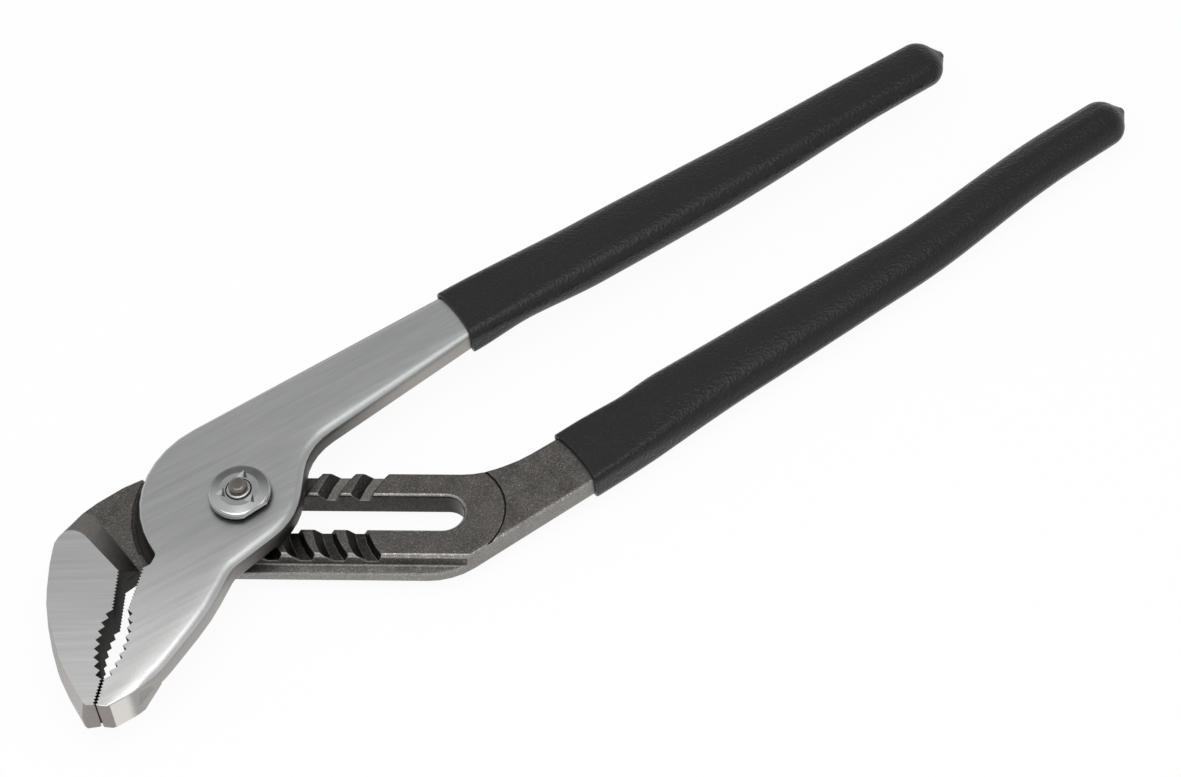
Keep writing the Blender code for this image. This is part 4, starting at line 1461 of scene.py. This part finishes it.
@dataclass
class Studio:
    """Pale floor, soft light and the camera of the photograph.

    Attributes:
        aim: Point of the front lever's plane in the middle of the picture.
        heading: Direction in which the camera looks, in degrees.
        elevation: Its height over the plane, in degrees.
        roll: Turn of the picture, in degrees.
        distance: Its distance from the aim.
        focal: Focal length in pixels of the photograph.
        sensor: Width of the sensor.
        reach: How far the camera sees.
        floor: Half width of the floor.
        glow: Share of the floor that is plain white for the camera, the rest keeps the shadow.
        sky: Brightness of the surroundings, overhead and at the horizon.
        haze: Height, as a share of the way up, over which the horizon's brightness fades.
        box_size: Size of the soft box over the pliers.
        box_place: Its middle: to the right, away from the camera and up from the aim.
        box_power: Its power in watts.
    """

    aim: tuple[float, float, float] = (83.47, 33.26, 0.0)
    heading: float = 103.227
    elevation: float = 52.3
    roll: float = 10.3
    distance: float = 1230.0
    focal: float = 5000.0
    sensor: float = 36.0
    reach: float = 100000.0
    floor: float = 15000.0
    glow: float = 0.94
    sky: tuple[float, float] = (0.61, 0.95)
    haze: float = 0.62
    box_size: tuple[float, float] = (560.0, 420.0)
    box_place: tuple[float, float, float] = (-40.0, -120.0, 450.0)
    box_power: float = 1.1

    def axes(self) -> tuple[Vector, Vector, Vector]:
        """Gives the camera's directions.

        Returns:
            Its heading over the floor, the direction to its right, and up.
        """
        turn = SLOT.turn + math.radians(self.heading)
        ahead = Vector((math.cos(turn), math.sin(turn), 0.0))
        return ahead, Vector((ahead.y, -ahead.x, 0.0)), Vector((0.0, 0.0, 1.0))

    def build_camera(self) -> bpy.types.Object:
        """Sets up the camera.

        Returns:
            The camera.
        """
        ahead, right, up = self.axes()
        tilt = math.radians(self.elevation)
        back = up * math.sin(tilt) - ahead * math.cos(tilt)
        above = ahead * math.sin(tilt) + up * math.cos(tilt)
        roll = math.radians(self.roll)
        side = right * math.cos(roll) - above * math.sin(roll)
        top = right * math.sin(roll) + above * math.cos(roll)
        data = bpy.data.cameras.new("camera")
        data.sensor_fit = "HORIZONTAL"
        data.sensor_width = self.sensor
        data.lens = self.sensor * self.focal / IMAGE_WIDTH
        data.clip_end = self.reach * MM
        camera = link("camera", data)
        place = SLOT.world(self.aim) + back * self.distance * MM
        camera.matrix_world = Matrix.Translation(place) @ Matrix((side, top, back)).transposed().to_4x4()
        bpy.context.scene.camera = camera
        return camera

    def build_floor(self) -> bpy.types.Object:
        """Lays the floor under the bolt's head.

        Returns:
            The floor.
        """
        bm = bmesh.new()
        bmesh.ops.create_grid(bm, x_segments=1, y_segments=1, size=self.floor * MM)
        mesh = bpy.data.meshes.new("floor")
        bm.to_mesh(mesh)
        bm.free()
        floor = link("floor", mesh)
        material = bpy.data.materials.new("white_floor")
        tree = blank(material)
        ray = add(tree, "ShaderNodeLightPath").outputs
        seen = ray["Is Camera Ray"]
        for kind in ("Is Glossy Ray", "Is Transmission Ray"):
            seen = add(tree, "ShaderNodeMath", {0: seen, 1: ray[kind]}, operation="MAXIMUM").outputs[0]
        share = add(tree, "ShaderNodeMath", {0: seen, 1: self.glow}, operation="MULTIPLY")
        paper = add(tree, "ShaderNodeBsdfDiffuse", {"Color": linear("#fafafa")})
        white = add(tree, "ShaderNodeEmission", {"Color": linear("#ffffff"), "Strength": 1.0})
        both = add(tree, "ShaderNodeMixShader", {
            0: share.outputs[0], 1: paper.outputs[0], 2: white.outputs[0],
        })
        add(tree, "ShaderNodeOutputMaterial", {"Surface": both.outputs[0]})
        mesh.materials.append(material)
        return floor

    def build_light(self) -> None:
        """Hangs the soft box and sets the surroundings."""
        scene = bpy.context.scene
        scene.world = bpy.data.worlds.new("surroundings")
        tree = blank(scene.world)
        up = add(tree, "ShaderNodeSeparateXYZ", {0: add(tree, "ShaderNodeTexCoord").outputs["Generated"]})
        fade = add(tree, "ShaderNodeMapRange", {
            "Value": up.outputs["Z"], "From Max": self.haze, "To Min": self.sky[1], "To Max": self.sky[0],
        }, interpolation_type="SMOOTHSTEP").outputs["Result"]
        back = add(tree, "ShaderNodeBackground", {"Color": linear("#ffffff"), "Strength": fade})
        add(tree, "ShaderNodeOutputWorld", {"Surface": back.outputs[0]})
        data = bpy.data.lights.new("soft_box", "AREA")
        data.shape = "RECTANGLE"
        data.size, data.size_y = (side * MM for side in self.box_size)
        data.energy = self.box_power
        light = link("soft_box", data)
        ahead, right, up = self.axes()
        across, away, above = self.box_place
        light.location = SLOT.world(self.aim) + (right * across + ahead * away + up * above) * MM
        light.rotation_euler.z = math.atan2(right.y, right.x)
        scene.view_settings.view_transform = "Standard"


SLEEVES = (
    Sleeve(
        "front_sleeve", "front_grip", Body.FRONT, Slot.VINYL, rim=(47.0, 55.9), turn=36.4, length=147.0,
        widths=(17.9, 13.4), low=-6.1, high=0.0, edges=(1.5, 1.5), ends=(0.36, 0.62), sweep=0.8,
        belly=2.0,
    ),
    Sleeve(
        "rear_sleeve", "rear_grip", Body.REAR, Slot.VINYL, rim=(80.0, 16.8), turn=39.7, length=173.5,
        widths=(17.3, 12.85), low=-13.2, high=-6.2, edges=(0.7, 2.6), ends=(0.68, 0.3), sweep=3.6,
        flare=1.3, swell=1.3,
    ),
)
# Jaw points where the fine teeth of the throats end, the line on which the jaws close at their tips, and
# the ends of the fine teeth there, which stand off that line
REAR_THROAT = (-7.45, -14.6)
FRONT_THROAT = (-4.0, -14.6)
CLOSING_LINE = ((-7.2, -34.9), (-7.9, -42.05))
REAR_TIP = ((-7.38, -34.9), (-8.08, -42.0))
FRONT_TIP = ((-7.02, -34.9), (-7.72, -42.0))
FASTENER_FINISHES = {
    Zone.FACE: NUT_STEEL, Zone.SLOPE: CONE_STEEL, Zone.BODY: BOLT_STEEL, Zone.CUT: SHADE_PLATING,
    Zone.EDGE: HIGHLIGHT_PLATING,
}
STEEL_PIECES = (
    SlottedLever(
        "rear_lever", "slotted_lever", Body.REAR, Slot.FORGED,
        {
            Zone.BODY: BODY_STEEL, Zone.FACE: JAW_STEEL, Zone.SIDE: SIDE_STEEL, Zone.TIP: TIP_STEEL,
            Zone.TEETH: TOOTH_SHADE_STEEL, Zone.CUT: GROOVE_SHADE_STEEL, Zone.EDGE: EDGE_STEEL,
            Zone.FLANK: FLANK_STEEL, Zone.SLOPE: SLOPE_STEEL, Zone.LEDGE: LEDGE_STEEL,
            Zone.FLOOR: FLOOR_STEEL, Zone.LINE: STEP_SHADE_STEEL,
        },
        mouth=Mouth(((-7.65, -3.2), REAR_THROAT, *CLOSING_LINE), -1, (
            FineTeeth(REAR_THROAT, (-7.65, -3.3), 17, 12), FineTeeth(*reversed(REAR_TIP), 11, 8),
        ), CoarseTeeth(REAR_TIP[0], REAR_THROAT, (0.32, 0.46))),
    ),
    FrontLever(
        "ground_lever", "front_lever", Body.FRONT, Slot.BRUSHED,
        {
            Zone.FACE: FACE_STEEL, Zone.SIDE: CHEEK_STEEL, Zone.TIP: TIP_STEEL,
            Zone.TEETH: TOOTH_SHADE_STEEL, Zone.CUT: GROOVE_SHADE_STEEL, Zone.UNDER: UNDER_STEEL,
            Zone.NOSE: NOSE_HIGHLIGHT_STEEL,
        },
        mouth=Mouth(((-2.1, -2.4), FRONT_THROAT, *CLOSING_LINE), 1, (
            FineTeeth((-2.1, -2.5), FRONT_THROAT, 19, 13), FineTeeth(*FRONT_TIP, 11, 8),
        ), CoarseTeeth(FRONT_THROAT, FRONT_TIP[0], (0.68, 0.37))),
    ),
    PlatedFastener("bolt", "pivot_bolt", Body.PIVOT, Slot.PLATED, FASTENER_FINISHES),
    PivotNut("nut", "pivot_nut", Body.PIVOT, Slot.PLATED, FASTENER_FINISHES),
)


def main() -> None:
    """Sets up the studio, then builds and dresses the pieces in order."""
    logging.basicConfig(level=logging.INFO, format="%(message)s")
    studio = Studio()
    studio.build_camera()
    studio.build_floor()
    studio.build_light()
    for part in (*STEEL_PIECES, *SLEEVES):
        piece = part.build()
        part.dress(piece)
        part.hand_over(piece)
        LOG.info("%s: %d faces for %s", piece.name, len(piece.data.polygons), part.node)


if __name__ == "__main__":
    main()
